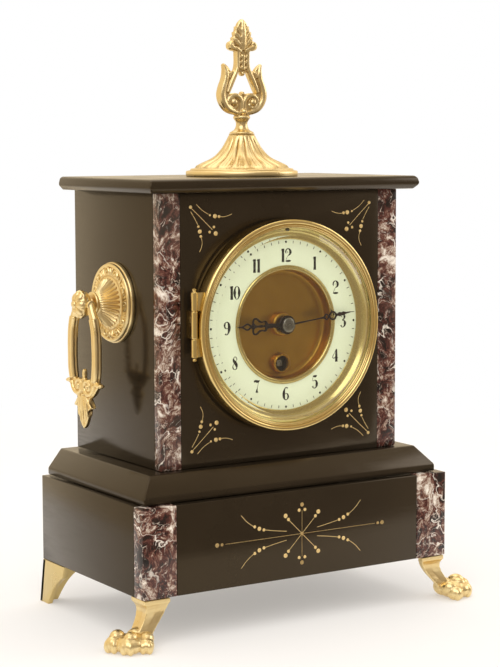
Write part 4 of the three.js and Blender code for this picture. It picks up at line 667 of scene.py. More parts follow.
pan = {
    "floor": -4.5,
    "plate": 0.8,
    "wall": [(31.3, 1.4), (31.3, -3.3), (31, -4), (30.3, -4.4), (29.3, -4.5), (28.9, -4.65), (28.5, -4.5)],
    "back": [(28.5, -5.3), (32.1, -5.3), (32.1, 0.6), (50.6, 0.6), (50.6, 1.4)],
    "floorRadius": 28.6,
    "holes": [(4.2, 0), (4.3, -23)],  # radius and height: the hub and the winding square
    "bossSteps": 64,
    "collar": [(4.2, -5.3), (4.2, -0.8), (4.7, -0.3), (5.6, -0.25), (6.4, -0.7), (6.85, -1.6), (6.85, -5.3)],
    "grommet": [(4.3, -5.3), (4.3, -1.5), (4.6, -1.1), (5.1, -1), (5.6, -1.3), (5.9, -1.9), (5.9, -5.3)],
    "feet": {"radius": 1.2, "circle": 38, "from": -12.9, "to": 1},
}


def dialPan():
    shape = turnProfile(pan["wall"] + pan["back"], roundSteps)
    rounds = [arc(0, y, radius, 0, 330, 11) for radius, y in ((pan["floorRadius"], 0), *pan["holes"])]
    addShape(shape, drawPlate(rounds, pan["plate"] / 2, detail=8), shift(z=pan["floor"] - pan["plate"] / 2))
    for boss, (radius, y) in zip(("collar", "grommet"), pan["holes"]):
        addShape(shape, turnProfile(pan[boss], pan["bossSteps"]), shift(y=y))
    feet = pan["feet"]
    for angle in (90, 210, 330):
        centre = turnAbout("Z", angle) @ Vector((feet["circle"], 0, (feet["from"] + feet["to"]) / 2))
        addDrum(shape, centre, feet["radius"], feet["to"] - feet["from"], steps=16)
    return shape


finishPiece("gilt_dial_pan", dialPan(), panGilt, onDial, ["dial_plate"])
print("dial is drawn")

# Hands: right-hand halves in millimetres from the arbor, pointing to twelve

handEdge = {"rounding": 0.12, "chamfer": 0.3, "steps": 48}
hourHand = {
    "turn": 270.5,
    "lift": 3.6,
    "thick": 0.7,
    "bore": 3.4,
    "boss": 5.5,
    "outer": [
        (0, -1.5, 1), (1.35, -1.5, 1), (1.3, 12), (1.6, 13.6), (2.7, 14.3), (3.2, 15.6), (2.9, 17.4), (3.3, 18.8),
        (4.6, 20.4), (5, 22), (4.5, 23.3), (3, 23.9), (1.3, 24.1), (0.9, 24.7), (1.7, 26), (2.1, 27.5), (1.1, 29.6),
        (0.55, 31), (0.3, 33), (0, 34.5, 1),
    ],
    "open": [[(0, 25.4, 1), (0.9, 26.6), (1.1, 27.6), (0.4, 29), (0, 29.7, 1)]],
    "pierced": [
        [(0.65, 15.5), (1.7, 15.2), (2.2, 16.2), (1.9, 17.6), (2.3, 19.4), (3.6, 21), (3.9, 22.2), (3.2, 22.8),
         (1.6, 22.6), (0.65, 21), (0.8, 18)],
    ],
}
minuteHand = {
    "turn": 83,
    "lift": 5,
    "thick": 0.7,
    "bore": 1.9,
    "boss": 4.4,
    "outer": [
        (0, -1.2, 1), (0.7, -1.2, 1), (0.5, 24.2), (1, 25.2), (1.9, 26.4), (1.6, 27.6), (0.8, 28.3), (1.7, 29.2),
        (2.7, 31), (2.3, 32.8), (1, 33.8), (0.7, 34.8), (1.3, 36.2), (0.8, 37.6), (1.2, 38.8), (0.6, 40.6), (0.4, 43),
        (0, 45.9, 1),
    ],
    "open": [
        [(0, 26, 1), (1.1, 26.6), (0.7, 27.4), (0, 27.7, 1)],
        [(0, 29.4, 1), (1.3, 30.2), (1.7, 31.4), (1.1, 32.6), (0, 33.1, 1)],
    ],
    "pierced": [],
}


def handShape(hand):
    half, bore, boss = hand["thick"] / 2, hand["bore"], hand["boss"]
    pierced = [[(away * x, y) for x, y in hole] for hole in hand["pierced"] for away in (1, -1)]
    outlines = [bothSides(outline) for outline in (hand["outer"], *hand["open"])] + pierced
    chamfer = handEdge["chamfer"]
    rim = [(bore, -half), (bore, half), (boss - chamfer, half), (boss, half - chamfer), (boss, -half)]
    return addShape(drawPlate(outlines, half, handEdge["rounding"]), turnProfile(rim, handEdge["steps"]))


for name, hand, body, node in (
    ("pierced_hour_hand", hourHand, "hour_motion", "hour_hand"),
    ("pierced_minute_hand", minuteHand, "minute_motion", "minute_hand"),
):
    place = onDial @ shift(z=hand["lift"] + hand["thick"] / 2) @ turnAbout("Z", -hand["turn"])
    finishPiece(name, handShape(hand), blued, place, [node], body)

nut = [(0, 7.05), (1.4, 7), (2.6, 6.8), (3.5, 6.5), (4.1, 6.15), (4.3, 5.9), (1.9, 5.9), (1.9, 6.2), (0, 6.2)]
cap = turnProfile(nut, handEdge["steps"])
finishPiece("domed_hand_nut", cap, steel, onDial, ["hand_nut"], "minute_motion")
print("hands are cut")

# Finial, about its own upright axis. Heights are above the top slab.

finialAxis = middleOf("finial_base")
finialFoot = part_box("finial_base")[0].z / milli
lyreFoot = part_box("finial_lyre")[0].z / milli
finialBase = {
    "steps": 16 * 14,
    "leaves": 16,
    "rim": [
        (0, 0), (33.1, 0), (33.3, 0.3), (33.3, 2.3), (33, 2.9), (32.2, 3.15), (31, 3.2), (30.8, 3.6), (30.6, 3.75),
        (30.5, 4.1), (30.1, 4.35), (29.2, 4.4), (28.6, 4.5),
    ],
    "skirt": [
        (28, 4.7), (27, 5), (26, 5.5), (24.6, 6.2), (23, 7), (21.2, 7.8), (19.2, 8.8), (17.2, 10.1), (15.4, 11.6),
        (13.9, 13.2), (12.6, 14.8), (11.4, 16.4), (10.3, 18.2), (9.3, 20.2), (8.5, 22.2), (8, 23.5),
    ],
    "collar": [(7.7, 23.9), (7.4, 24.1), (7.65, 24.4), (7.65, 24.8), (7.3, 25), (0, 25)],
    "relief": (8.1, 28.4),
    "above": 4.65,
    "fade": 1.5,
    "wall": (9, 21),
    "leaf": 0.7,
    "groove": 0.75,
    "rib": 0.4,
    "ribs": [(0, 0.14, 1), (0.5, 0.12, 0.5)],  # place across the leaf, width and strength
    "tip": 27.6,
    "scallop": 2.6,
}


def acrossLeaf(point, count):  # distance from the axis, and 0 on the middle of a leaf or flute to 1 between two
    turn = math.atan2(point.y, point.x) / fullTurn * count
    return math.hypot(point.x, point.y), abs(turn - math.floor(turn) - 0.5) * 2


def finialStand():
    # Radial leaves: a groove between neighbours, ribs on each and a scalloped outer edge
    shape = turnProfile(finialBase["rim"] + finialBase["skirt"] + finialBase["collar"], finialBase["steps"])
    inner, outer = finialBase["relief"]
    steep, flat = finialBase["wall"]
    groove = finialBase["groove"]
    for vert in shape.verts:
        radius, off = acrossLeaf(vert.co, finialBase["leaves"])
        if not inner < radius < outer or vert.co.z < finialBase["above"]:
            continue
        fade = min(1, (radius - inner) / finialBase["fade"])
        ribs = sum(strong * math.exp(-(((off - at) / wide) ** 2)) for at, wide, strong in finialBase["ribs"])
        lift = finialBase["rib"] * ribs + finialBase["leaf"] - groove * off**4
        if radius > finialBase["tip"] - finialBase["scallop"] * off**2:
            lift = 0
        slope = min(1, max(0, (radius - steep) / (flat - steep)))
        vert.co.z += lift * fade * slope
        squeeze = 1 - (groove * off**3 - lift * 0.4) * fade * (1 - slope) / radius
        vert.co.x *= squeeze
        vert.co.y *= squeeze
    return shape


finialPlace = shift(finialAxis.x, finialAxis.y, finialFoot)
finishPiece("cast_finial_stand", finialStand(), gilt, finialPlace, ["finial_base"], sharp=50)

# The lyre is drawn flat, x across and y up, then stood upright
lyre = {
    "grain": 0.33,
    "half": 1.8,
    "round": 0.9,
    "face": 1.6,
    "ballsOut": 1.15,
    "middleOut": 1.05,
    "dropsDeep": 1.9,
    "neck": [
        (0, -0.18), (7.2, -0.15), (7.1, 0.5), (6, 1.1), (4.6, 1.9), (3.9, 3), (3.45, 4.4), (3.35, 5.6), (3.6, 6.8),
        (4.4, 7.9), (5, 8.8), (5.1, 9.6), (4.4, 10.3), (0, 11.2),
    ],
    "outline": [
        (0, 9.6, 1), (3.4, 10), (6.2, 11), (9.2, 12.3), (12.2, 14.2), (14.8, 17), (16.2, 20.2), (16.6, 23.2),
        (15.8, 26.8), (14.4, 30.2), (13.2, 33.2), (12.6, 36.2), (12.8, 38.8), (13.1, 41, 1), (11.2, 39.8),
        (9.4, 38.2), (8, 36.3, 1), (6.4, 36.6), (5, 38.4), (4.5, 42), (4.5, 48.3, 1), (7, 48.4), (9.3, 48.9),
        (10.2, 50.4), (9.8, 52.4), (8.4, 53.6), (7, 54.3, 1), (7, 55.5), (5.9, 56.7, 1), (6.1, 58.2), (4.9, 59.9, 1),
        (4.8, 61.2), (3.5, 62.8, 1), (2.9, 64.3), (1.4, 65.9), (0, 66.9, 1),
    ],
    "opening": [(0, 23.2, 1), (9.3, 22.7, 1), (7.6, 26.4), (5.3, 30.4), (2.9, 36, 1), (1.4, 35.4), (0, 34.2)],
    "relief": [
        # rim of the arm, from the cup to the leaf's tip
        [(2, 11.6, 1.2), (6.6, 12.6, 1.6), (10.6, 14.6, 1.9), (13.2, 18, 2.1), (14.4, 22.2, 2.1), (13.6, 26.8, 2),
         (12, 31.4, 1.8), (11.6, 35.4, 1.5), (12.2, 38.4, 0.9), (13.1, 40.2, 0.3)],
        # edge of the opening, which runs on as the column's corner
        [(10.4, 23.8, 1.3), (8.8, 27.4, 1.5), (6.9, 31.4, 1.5), (4.9, 35.2, 1.3), (3.6, 39, 1.2), (3.4, 47.8, 1.2)],
        # volute
        [(0.9, 13, 1), (1, 16.4, 1.3), (1.8, 20, 1.5), (4.6, 22, 1.5), (8.2, 21.4, 1.45), (10.1, 18.4, 1.3),
         (8.8, 15.4, 1.2), (6, 14.9, 1.1), (4.2, 17, 1)],
        # leaf that parts from the arm
        [(9.6, 32.4, 1), (9, 35, 0.9), (8.6, 36.2, 0.6)],
        # curls of the capital
        [(1.4, 47.6, 1.2), (4.4, 49.4, 1.6), (7.6, 50.4, 1.8), (8.2, 52, 1.4), (6.4, 52.6, 1.1)],
        # leaves of the flame
        [(1.2, 50.6, 1.5), (3.8, 53.2, 1.5), (5.4, 55, 1.2), (6.6, 55.8, 0.5)],
        [(1, 54, 1.4), (3.4, 57, 1.4), (4.9, 58.4, 1), (5.7, 59, 0.4)],
        [(0.9, 58, 1.2), (2.4, 60.8, 1.2), (3.6, 61.9, 0.8), (4.3, 62.4, 0.3)],
    ],
    "middle": [
        [(0, 37, 1.3), (0, 41, 1.2), (0, 46, 1.3)],
        [(0, 48.6, 1.5), (0, 52, 2), (0, 57, 2.1), (0, 61, 1.7), (0, 64.4, 1), (0, 66.4, 0.4)],
    ],
    "balls": [(6.5, 18.2, 2.2), (1.6, 38.2, 0.9), (1.6, 41.4, 0.9), (1.6, 44.6, 0.9)],
    "drops": [(0, 23.2, 1.4), (0, 34.9, 1.5), (0, 12.6, 2.4)],
}


def finialLyre():
    shape = drawPlate([bothSides(lyre["outline"]), bothSides(lyre["opening"])], lyre["half"], lyre["round"], 5)
    for face in (1, -1):
        depth = face * lyre["face"]
        relief = drawRods(atDepth(lyre["relief"], depth))
        for x, y, radius in lyre["balls"]:
            addBall(relief, (x, y, lyre["ballsOut"] * depth), (radius, radius, radius))
        mirrorShape(relief)
        addShape(relief, drawRods(atDepth(lyre["middle"], lyre["middleOut"] * depth)))
        addShape(shape, relief)
    for x, y, radius in lyre["drops"]:
        addBall(shape, (x, y, 0), (radius, radius, lyre["dropsDeep"] * radius))
    shape.transform(toFront)
    addShape(shape, turnProfile(lyre["neck"], 48))
    return castTogether(shape, lyre["grain"], 2)


lyrePlace = shift(finialAxis.x, finialAxis.y, lyreFoot)
finishPiece("cast_lyre", finialLyre(), gilt, lyrePlace, ["finial_lyre"], sharp=60)
print("finial is cast")

# Side handles. Z is outwards from the case side, and Y is up.

rosette = {
    "steps": 30 * 10,
    "flutes": 30,
    "profile": [
        (2.9, 0.2), (23.3, 0.2), (23.5, 0.5), (23.5, 2.1), (23.2, 2.6), (22.7, 2.8), (22.7, 3.9), (22.4, 4.4),
        (21.9, 4.7), (21.2, 4.8), (20.8, 4.5), (20.4, 4.1), (19.6, 4.3), (18.4, 4.6), (17.2, 4.7), (16.2, 4.6),
        (15.6, 4.5), (15.3, 4.7), (15, 5), (14.6, 5.3), (14.2, 5.5), (13.7, 5.75), (13.2, 6.05), (12.5, 6.45),
        (11.5, 7.15), (10.5, 7.95), (9.5, 8.85), (8.5, 9.85), (7.6, 10.9), (6.8, 12), (6.2, 13), (5.8, 13.6),
        (5.4, 14), (2.9, 14),
    ],
    "relief": (5.9, 14.4),
    "above": 4,
    "fade": (1.5, 1.1),
    "depth": 1.15,
    "full": 10,
    "flute": 0.7,
    "fillet": (0.82, 0.18, 0.4),  # place across the flute, width and height
    "scrolls": 11,
    "lift": 0.75,
    # one C-scroll and its leaf, repeated round the ring
    "scroll": [
        [(15.9, -3, 3.5, 0.5), (17.6, -3.4, 4.1, 0.65), (19.6, -2.4, 3.9, 0.7), (20.4, -0.2, 3.5, 0.65),
         (19.4, 1.5, 3.9, 0.6), (17.9, 1.4, 4.2, 0.55), (17.4, 0.3, 4.2, 0.5), (18.3, -0.4, 4.1, 0.5)],
        [(16, 2.2, 3.6, 0.45), (17.6, 3.3, 4.1, 0.6), (19.6, 4.2, 3.7, 0.5), (20.8, 5.4, 3, 0.3)],
        [(16, 4.2, 3.6, 0.4), (17.4, 5.2, 4, 0.55), (18.8, 6.6, 3.7, 0.45)],
    ],
    "bead": ((18.2, -0.4, 4.85), (0.8, 0.8, 0.7)),
}


def rosetteShape():
    shape = turnProfile(rosette["profile"], rosette["steps"])
    inner, outer = rosette["relief"]
    fadeIn, fadeOut = rosette["fade"]
    across, wide, tall = rosette["fillet"]
    for vert in shape.verts:
        radius, off = acrossLeaf(vert.co, rosette["flutes"])
        if not inner < radius < outer or vert.co.z < rosette["above"]:
            continue
        end = min(1, (outer - radius) / fadeOut, (radius - inner) / fadeIn)
        hollow = max(0, 1 - (off / rosette["flute"]) ** 2) * math.sqrt(max(0, end))
        vert.co.z -= rosette["depth"] * hollow * min(1, radius / rosette["full"])
        vert.co.z += tall * max(0, 1 - ((off - across) / wide) ** 2) * end
    scroll = [[(x, y, z + rosette["lift"], radius) for x, y, z, radius in path] for path in rosette["scroll"]]
    foliage = drawRods(scroll, sides=1, detail=4)
    addBall(foliage, *rosette["bead"], rings=5)
    ring = {"axis": (0, 0, 1), "angle": fullTurn, "steps": rosette["scrolls"], "use_duplicate": True}
    bmesh.ops.spin(foliage, geom=everything(foliage), **ring)
    return addShape(shape, foliage)


stud = {
    "profile": [
        (0, 0.3), (2.6, 0.3), (2.6, 14.2), (5.4, 14.2), (6.6, 14.4), (7, 15), (6.9, 15.8), (6.2, 16.2), (5, 15.9),
        (3.4, 15.9), (2.7, 16.6), (2.7, 20.2), (0, 20.2),
    ],
    "steps": 48,
    "knob": 24,
    "core": [(-1, (5.4, 5.9, 3.4))],  # height on the knob and size
    "petals": 8,
    "petalLean": 30,
    "petal": [(3.9, 1.2, (2.7, 1.9, 1.5)), (5, -1.4, (1.5, 1.8, 2))],  # out, up and size
    "bract": (4.4, 0.2, (1.7, 0.9, 1.7)),
    "pin": (1.1, 9.6, 20.8),
    "bud": [(2.6, (1.9, 1.9, 1.6)), (-0.4, (6.4, 6.6, 2.4)), (-2.6, (6, 6, 3.4))],
    "sink": -3,
    "form": (1.02, 1.26, 1.12),
    "collar": (19.6, 3.6, 1.6),
    "shank": (2.4, 2.5),
    "grain": 0.3,
}


def studShape():
    # the shank and collar, and a knob with petals about a bud
    knob = bmesh.new()
    middle = stud["knob"]
    for rise, size in stud["core"]:
        addBall(knob, (0, 0, middle + rise), size)
    for index in range(stud["petals"]):
        turn = turnAbout("Z", 360 * index / stud["petals"])
        for out, rise, size in stud["petal"]:
            addBall(knob, turn @ Vector((out, 0, middle + rise)), size, turn @ turnAbout("Y", stud["petalLean"]))
        out, rise, size = stud["bract"]
        addBall(knob, turn @ turnAbout("Z", 180 / stud["petals"]) @ Vector((out, 0, middle + rise)), size)
    for rise, size in stud["bud"]:
        addBall(knob, (0, 0, middle + rise), size)
    knob.transform(shift(z=stud["sink"]) @ resize(*stud["form"]))
    height, *collar = stud["collar"]
    addDrum(knob, (0, 0, height), *collar)
    radius, half, reach = stud["pin"]
    thick, depth = stud["shank"]
    addShape(knob, drawRods([[(0, 0, reach, thick), (0, 0, reach - depth, thick)]]))
    shape = castTogether(knob, stud["grain"], 2)
    addShape(shape, turnProfile(stud["profile"], stud["steps"]))
    addDrum(shape, (0, 0, reach), radius, 2 * half, turnAbout("Y", 90), 24)
    return shape


# Bail, in its own plane: x to the side, y up from the pin and z outwards. Right-hand halves.
bail = {
    "grain": 0.32,
    "arm": [(7.8, 1, 2.1), (9.4, -3.4, 2.5), (12, -8, 2.5), (13.9, -14, 2.4), (14.7, -22, 2.4),
            (14.8, -31, 2.3), (14.4, -38, 2.4), (13.2, -43.5, 2.3)],
    "ridge": {"aside": 1, "out": 0.95, "radius": 1.6, "arm": 2.3},
    "half": 1.3,
    "round": 0.5,
    "outline": [
        (0, -37.2, 1), (0.9, -38.4), (1.3, -40.4), (1.1, -42.6), (3.4, -43.3), (6.2, -42.8), (9.2, -43.6),
        (12.4, -42.4), (16.4, -43.4), (18.6, -44.2), (20.6, -44.6), (21, -45.6), (20, -46.6), (18, -46.8),
        (15.6, -48.6), (12.6, -51.4), (9.4, -53.2), (7.2, -54.6), (8.2, -56.8), (11, -59.2, 1), (7.6, -60),
        (5.6, -61.6), (5.6, -64), (4.2, -67.4), (2.2, -70.2), (0, -71.8, 1),
    ],
    "face": 1.4,
    "relief": [
        # volute that rolls in under the arm
        [(13.6, -45.4, 1.3), (11.6, -49.6, 1.3), (7.4, -51.6, 1.3), (3, -50.4, 1.2), (1.6, -46.9, 1.15),
         (3.6, -44.4, 1.1), (6.8, -44.6, 1.05), (8.4, -47.2, 1), (6.9, -49, 0.9), (5, -48, 0.85)],
        [(15, -44.8, 1.2), (18, -45.4, 1), (20.2, -45.6, 0.8)],
        # ribs of the palmette
        [(3.4, -52.6, 1), (6, -55.6, 1.1), (8.6, -57.8, 0.8), (10.4, -59, 0.35)],
        [(2.6, -53, 1), (4.4, -57.4, 1.1), (5, -61.6, 0.9), (5, -64.4, 0.5)],
        [(1.4, -53, 1), (2.4, -58.6, 1.1), (2.9, -63.6, 0.9), (2.4, -68, 0.5)],
    ],
    "middle": [
        [(0, -51.6, 1.4), (0, -58, 1.3), (0, -64, 1.1), (0, -70.2, 0.5)],
        [(0, -50, 1.2), (0, -46, 0.9), (0, -43.4, 0.7)],
    ],
    "eye": {"bore": 1.3, "radius": 2.7, "wide": 2.2, "outer": 9.6},
    "berry": (5.6, -47.2, 1.3),
}


def bailShape():
    ridge = bail["ridge"]
    rods = atDepth([bail["arm"]])
    for aside in (1, -1):
        for out in (1, -1):
            rods.append([
                (x + aside * ridge["aside"] * radius / ridge["arm"], y, out * ridge["out"],
                 ridge["radius"] * radius / ridge["arm"])
                for x, y, radius in bail["arm"][2:]
            ])
    shape = mirrorShape(drawRods(rods, sides=3))
    addShape(shape, drawPlate([bothSides(bail["outline"][::-1])], bail["half"], bail["round"], 5))
    for out in (1, -1):
        depth = out * bail["face"]
        relief = mirrorShape(drawRods(atDepth(bail["relief"], depth)))
        addShape(relief, drawRods(atDepth(bail["middle"], depth)))
        x, y, radius = bail["berry"]
        for aside in (1, -1):
            addBall(relief, (aside * x, y, depth), (radius, radius, radius))
        addShape(shape, relief)
    eye = bail["eye"]
    half = eye["wide"] / 2
    inner, outer = eye["bore"], eye["radius"]
    for side in (-1, 1):
        ring = turnProfile([(inner, -half), (inner, half), (outer, half), (outer, -half)], 32)
        addShape(shape, ring, shift(side * (eye["outer"] - half)) @ turnAbout("Y", 90))
    return castTogether(shape, bail["grain"], 2)


sides = (("left", -1), ("right", 1))
for side, away in sides:
    middle = middleOf("handle_rosette_" + side)
    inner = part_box(f"body_{side}_panel")[0 if away < 0 else 1].x / milli
    # the shape's z goes outwards, its y up and its x to the front or back
    outwards = Matrix(((0, 0, away, inner), (away, 0, 0, middle.y), (0, 1, 0, middle.z), (0, 0, 0, 1)))
    hang = outwards @ shift(z=stud["pin"][2])
    finishPiece("cast_rosette_" + side, rosetteShape(), gilt, outwards, ["handle_rosette_" + side], sharp=50)
    finishPiece("cast_knob_" + side, studShape(), gilt, outwards, ["handle_knob_" + side], sharp=60)
    finishPiece("cast_bail_" + side, bailShape(), gilt, hang, ["handle_bail_" + side], "bail_" + side, sharp=60)
print("handles are cast")

# Feet

paw = {
    "grain": 0.34,
    "heading": 42,
    "lean": 22,
    "centre": (3.5, 2.5),
    "block": (16.4, 15.4),
    "inset": 0.8,
    "chamfer": 4,
    "toes": [
        # place across the paw, reach, half width, height, and how far the toe is turned
        {"side": 8, "reach": 13.8, "half": 4.6, "tall": 9.8, "turn": 12},
        {"side": 0.5, "reach": 15.4, "half": 4.6, "tall": 9.6, "turn": 0},
        {"side": -6.8, "reach": 10.6, "half": 4.2, "tall": 9, "turn": -14},
    ],
    "toe": [
        # back from the reach, shares of the half width and height, then length and shares again
        (8.6, 0, 0.76, 5.4, 0.9, 0.46), (4.8, 0, 0.48, 5, 1, 0.5), (2.4, -0.42, 0.4, 2.7, 0.52, 0.4),
        (2.4, 0.42, 0.4, 2.7, 0.52, 0.4),
    ],
    "hollow": 1.3,
    "leg": [
        # share of the height, size of the section, reach towards the toes, hollow of its faces
        (0.995, 1, 0, 0), (0.91, 1, 0, 0), (0.87, 0.9, -0.03, 0.2), (0.81, 0.81, -0.05, 0.5),
        (0.72, 0.74, -0.01, 0.8), (0.62, 0.69, 0.08, 0.9), (0.52, 0.65, 0.21, 0.8), (0.43, 0.62, 0.34, 0.5),
        (0.34, 0.6, 0.46, 0.2), (0.25, 0.6, 0.55, 0),
    ],
    "pad": [((4, 0.8, 4.8), (9.4, 9.4, 5.4)), ((-2, 0, 6.2), (6.2, 6.4, 5.6)), ((8.6, 1, 4.6), (6.6, 8.2, 5))],
}


def pawShape(height):
    # Drawn for the right front corner: x outwards, y backwards from the plinth's corner
    wide, deep = paw["block"]
    chamfer = paw["chamfer"]
    pivot = Vector((-wide / 3 - paw["inset"], deep / 3))
    lean = math.radians(paw["lean"])
    towards = Vector((math.cos(lean), -math.sin(lean)))
    shape = bmesh.new()
    ring = None
    for share, section, reach, hollow in paw["leg"]:
        hollow *= paw["hollow"]
        corners = [(-wide, 0), (-wide / 2, hollow), (0, 0), (-hollow, deep / 2), (0, deep)]
        corners += [(-chamfer, deep), (-wide, chamfer)]
        at = [pivot + (Vector((c[0] - paw["inset"], c[1])) - pivot) * section + towards * reach * deep for c in corners]
        if ring is None:
            ring = shape.faces.new([shape.verts.new((*p, share * height)) for p in at])
            continue
        made = bmesh.ops.extrude_face_region(shape, geom=[ring])
        if share != paw["leg"][1][0]:
            bmesh.ops.delete(shape, geom=[ring], context="FACES_ONLY")
        ring = next(item for item in made["geom"] if isinstance(item, bmesh.types.BMFace))
        for vert, p in zip(ring.verts, at):
            vert.co = (*p, share * height)
    faceOut(shape)
    pad = bmesh.new()
    for centre, size in paw["pad"]:
        addBall(pad, centre, size)
    for toe in paw["toes"]:
        fan = shift(y=toe["side"]) @ turnAbout("Z", toe["turn"])
        reach, half, tall = toe["reach"], toe["half"], toe["tall"]
        for back, aside, up, long, broad, high in paw["toe"]:
            size = (long, broad * half, high * tall)
            addBall(pad, fan @ Vector((reach - back, aside * half, up * tall)), size, fan.to_3x3().to_4x4())
    addShape(shape, pad, shift(*paw["centre"]) @ turnAbout("Z", -paw["heading"]))
    shape = castTogether(shape, paw["grain"], 4)
    foot = {"plane_co": (0, 0, 0.02), "plane_no": (0, 0, 1), "clear_inner": True}
    made = bmesh.ops.bisect_plane(shape, geom=everything(shape), **foot)
    rim = [item for item in made["geom_cut"] if isinstance(item, bmesh.types.BMEdge)]
    bmesh.ops.holes_fill(shape, edges=rim)
    return shape


bracket = {
    "wall": 3.2,
    "splay": 5,
    "round": 0.3,
    "toe": 10.5,
    "long": 28,
    "curve": [(-9.6, 6.2), (-14.6, 12.2), (-20.2, 16.6), (-25, 19.5, 1)],
}


def bracketShape(height):
    # Drawn for the right back corner. The side wing leans out behind, and the back wing leans backwards.
    splay, half = bracket["splay"], bracket["wall"] / 2
    outline = [(0, height, 1), (splay, 0, 1), (splay - bracket["toe"], 0, 1), *bracket["curve"]]
    outline.append((-bracket["long"], height, 1))
    side = drawPlate([outline], half, bracket["round"], 6)
    # x of the drawing goes backwards and y up
    side.transform(Matrix(((0, 0, 1, -half), (1, 0, 0, 0), (0, 1, 0, 0), (0, 0, 0, 1))))
    straight = [(p[0] - splay * (1 - p[1] / height), *p[1:]) for p in outline]
    back = drawPlate([straight], half, bracket["round"], 6)
    addShape(side, back, Matrix(((1, 0, 0, 0), (0, -splay / height, -1, splay - half), (0, 1, 0, 0), (0, 0, 0, 1))))
    return faceOut(side)


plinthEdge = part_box("base_post_right")[1].x / milli
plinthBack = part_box("base_back_panel")[1].y / milli
for side, away in sides:
    corner = shift(away * plinthEdge, plinthFront) @ resize(away)
    foot = pawShape(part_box("foot_front_" + side)[1].z / milli)
    finishPiece("cast_paw_" + side, foot, gilt, corner, ["foot_front_" + side], sharp=60)
for side, away in sides:
    corner = shift(away * plinthEdge, plinthBack) @ resize(away)
    foot = bracketShape(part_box("foot_rear_" + side)[1].z / milli)
    finishPiece("cast_bracket_" + side, foot, filedBrass, corner, ["foot_rear_" + side])
print("feet are cast")

# Back of the clock

rear = {
    "steps": 128,
    "ring": [(42, 0.2), (42, 1.5), (42.4, 1.9), (54.6, 1.9), (55.2, 1.6), (55.5, 1.1), (55.5, 0.2), (49.7, 0.2),
             (49.7, -6), (48.2, -6), (48.2, 0.2)],
    "door": [(0, 2.2), (52.5, 2.2), (52.5, 3.1), (52.1, 3.5), (51.3, 3.8), (50.2, 3.75), (49.4, 3.4), (0, 3.4)],
    "knob": [(0, 3.2), (3, 3.2), (3, 4.2), (2.6, 4.6), (0, 4.6)],
    "knobPlace": -45.15,
    "hinge": (56.9, 4.3),
    "barrel": 2,
    "knuckle": 6,
    "ends": (6.3, 14),
    "plates": [(54.9, 0.2, 58.9, 4.3), (49.7, 0.2, 58.9, 1.9)],
    "leaf": (48.1, 2.2, 56.9, 3.4),
}
onBack = shift(dialAxis.x, bodyBack, dialAxis.z) @ turnAbout("Z", 180) @ toFront

ring = turnProfile(rear["ring"], rear["steps"])
near, far = rear["ends"]
for low, high in ((near, far), (-far, -near)):
    hingeBarrel(ring, low, high, rear["hinge"], rear["barrel"])
    addPlates(ring, rear["plates"], low, high)
finishPiece("rear_bezel_ring", ring, spun, onBack, ["rear_ring"], edge=0.15)

lid = turnProfile(rear["door"], rear["steps"])
half = rear["knuckle"]
hingeBarrel(lid, -half, half, rear["hinge"], rear["barrel"])
addPlates(lid, [rear["leaf"]], -half, half)
addShape(lid, turnProfile(rear["knob"], 32), shift(rear["knobPlace"]))
finishPiece("rear_bezel_door", lid, spun, onBack, ["rear_door"], "back_door", edge=0.15)
print("back is fitted")

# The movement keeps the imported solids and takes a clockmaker's finishes

finishes = {
    "slate": slate,
    "marble": marble,
    "gilt_brass": gilt,
    "glass": glass,
    "dial_enamel": enamel,
    "pan_brass": panGilt,
    "blued_steel": blued,
    "steel": steel,
    "movement_brass": movementBrass,
}
for part in frame["record"]["subparts"]:
    mesh = frame["nodes"][part["node"]].data
    mesh.materials.clear()
    mesh.materials.append(finishes[part["material_slot"]])
print("movement is finished")

# Studio: a pale floor that runs up into a backdrop, soft lamps and a white surround. Its sizes are metres.

studio = {
    "floor": "#f3f2f1",
    # glow and glowShare: a warm glow mixed in near the clock, painted light in its shadow on the floor
    "glow": "#fff6ea",
    "glowShare": 0.38,
    "near": 0.35,
    "far": 0.85,
    "mirrored": -0.21,
    "white": 1,
    "ambient": 0.96,
    "sky": "#fff9f0",
    "behindCamera": "#a39483",
    "around": "#ffeac6",
    "lamps": [
        {"name": "key lamp", "place": (-1.1, -1.2, 1.7), "size": 2, "power": 18, "colour": "#fdfdff"},
        {"name": "fill lamp", "place": (1.9, -0.5, 1), "size": 1.3, "power": 8, "colour": "#f8f9ff"},
        {"name": "top lamp", "place": (0.2, 0.5, 1.9), "size": 2, "power": 9, "colour": "#fafbff"},
    ],
    "aim": (0, 0, 0.17),
    "sweep": {"front": -2.6, "back": 1.4, "curve": 0.8, "top": 3, "half": 3.5},
}


def whiteRays(tree):  # the rays that see the paper and the room as plain white
    path = addNode(tree, "LightPath").outputs
    direct = addNode(tree, "Math", {"operation": "MAXIMUM"}, {0: path["Is Camera Ray"], 1: path["Is Glossy Ray"]})
    return path, addNode(tree, "Math", {"operation": "MAXIMUM"}, {0: direct, 1: path["Is Transmission Ray"]})


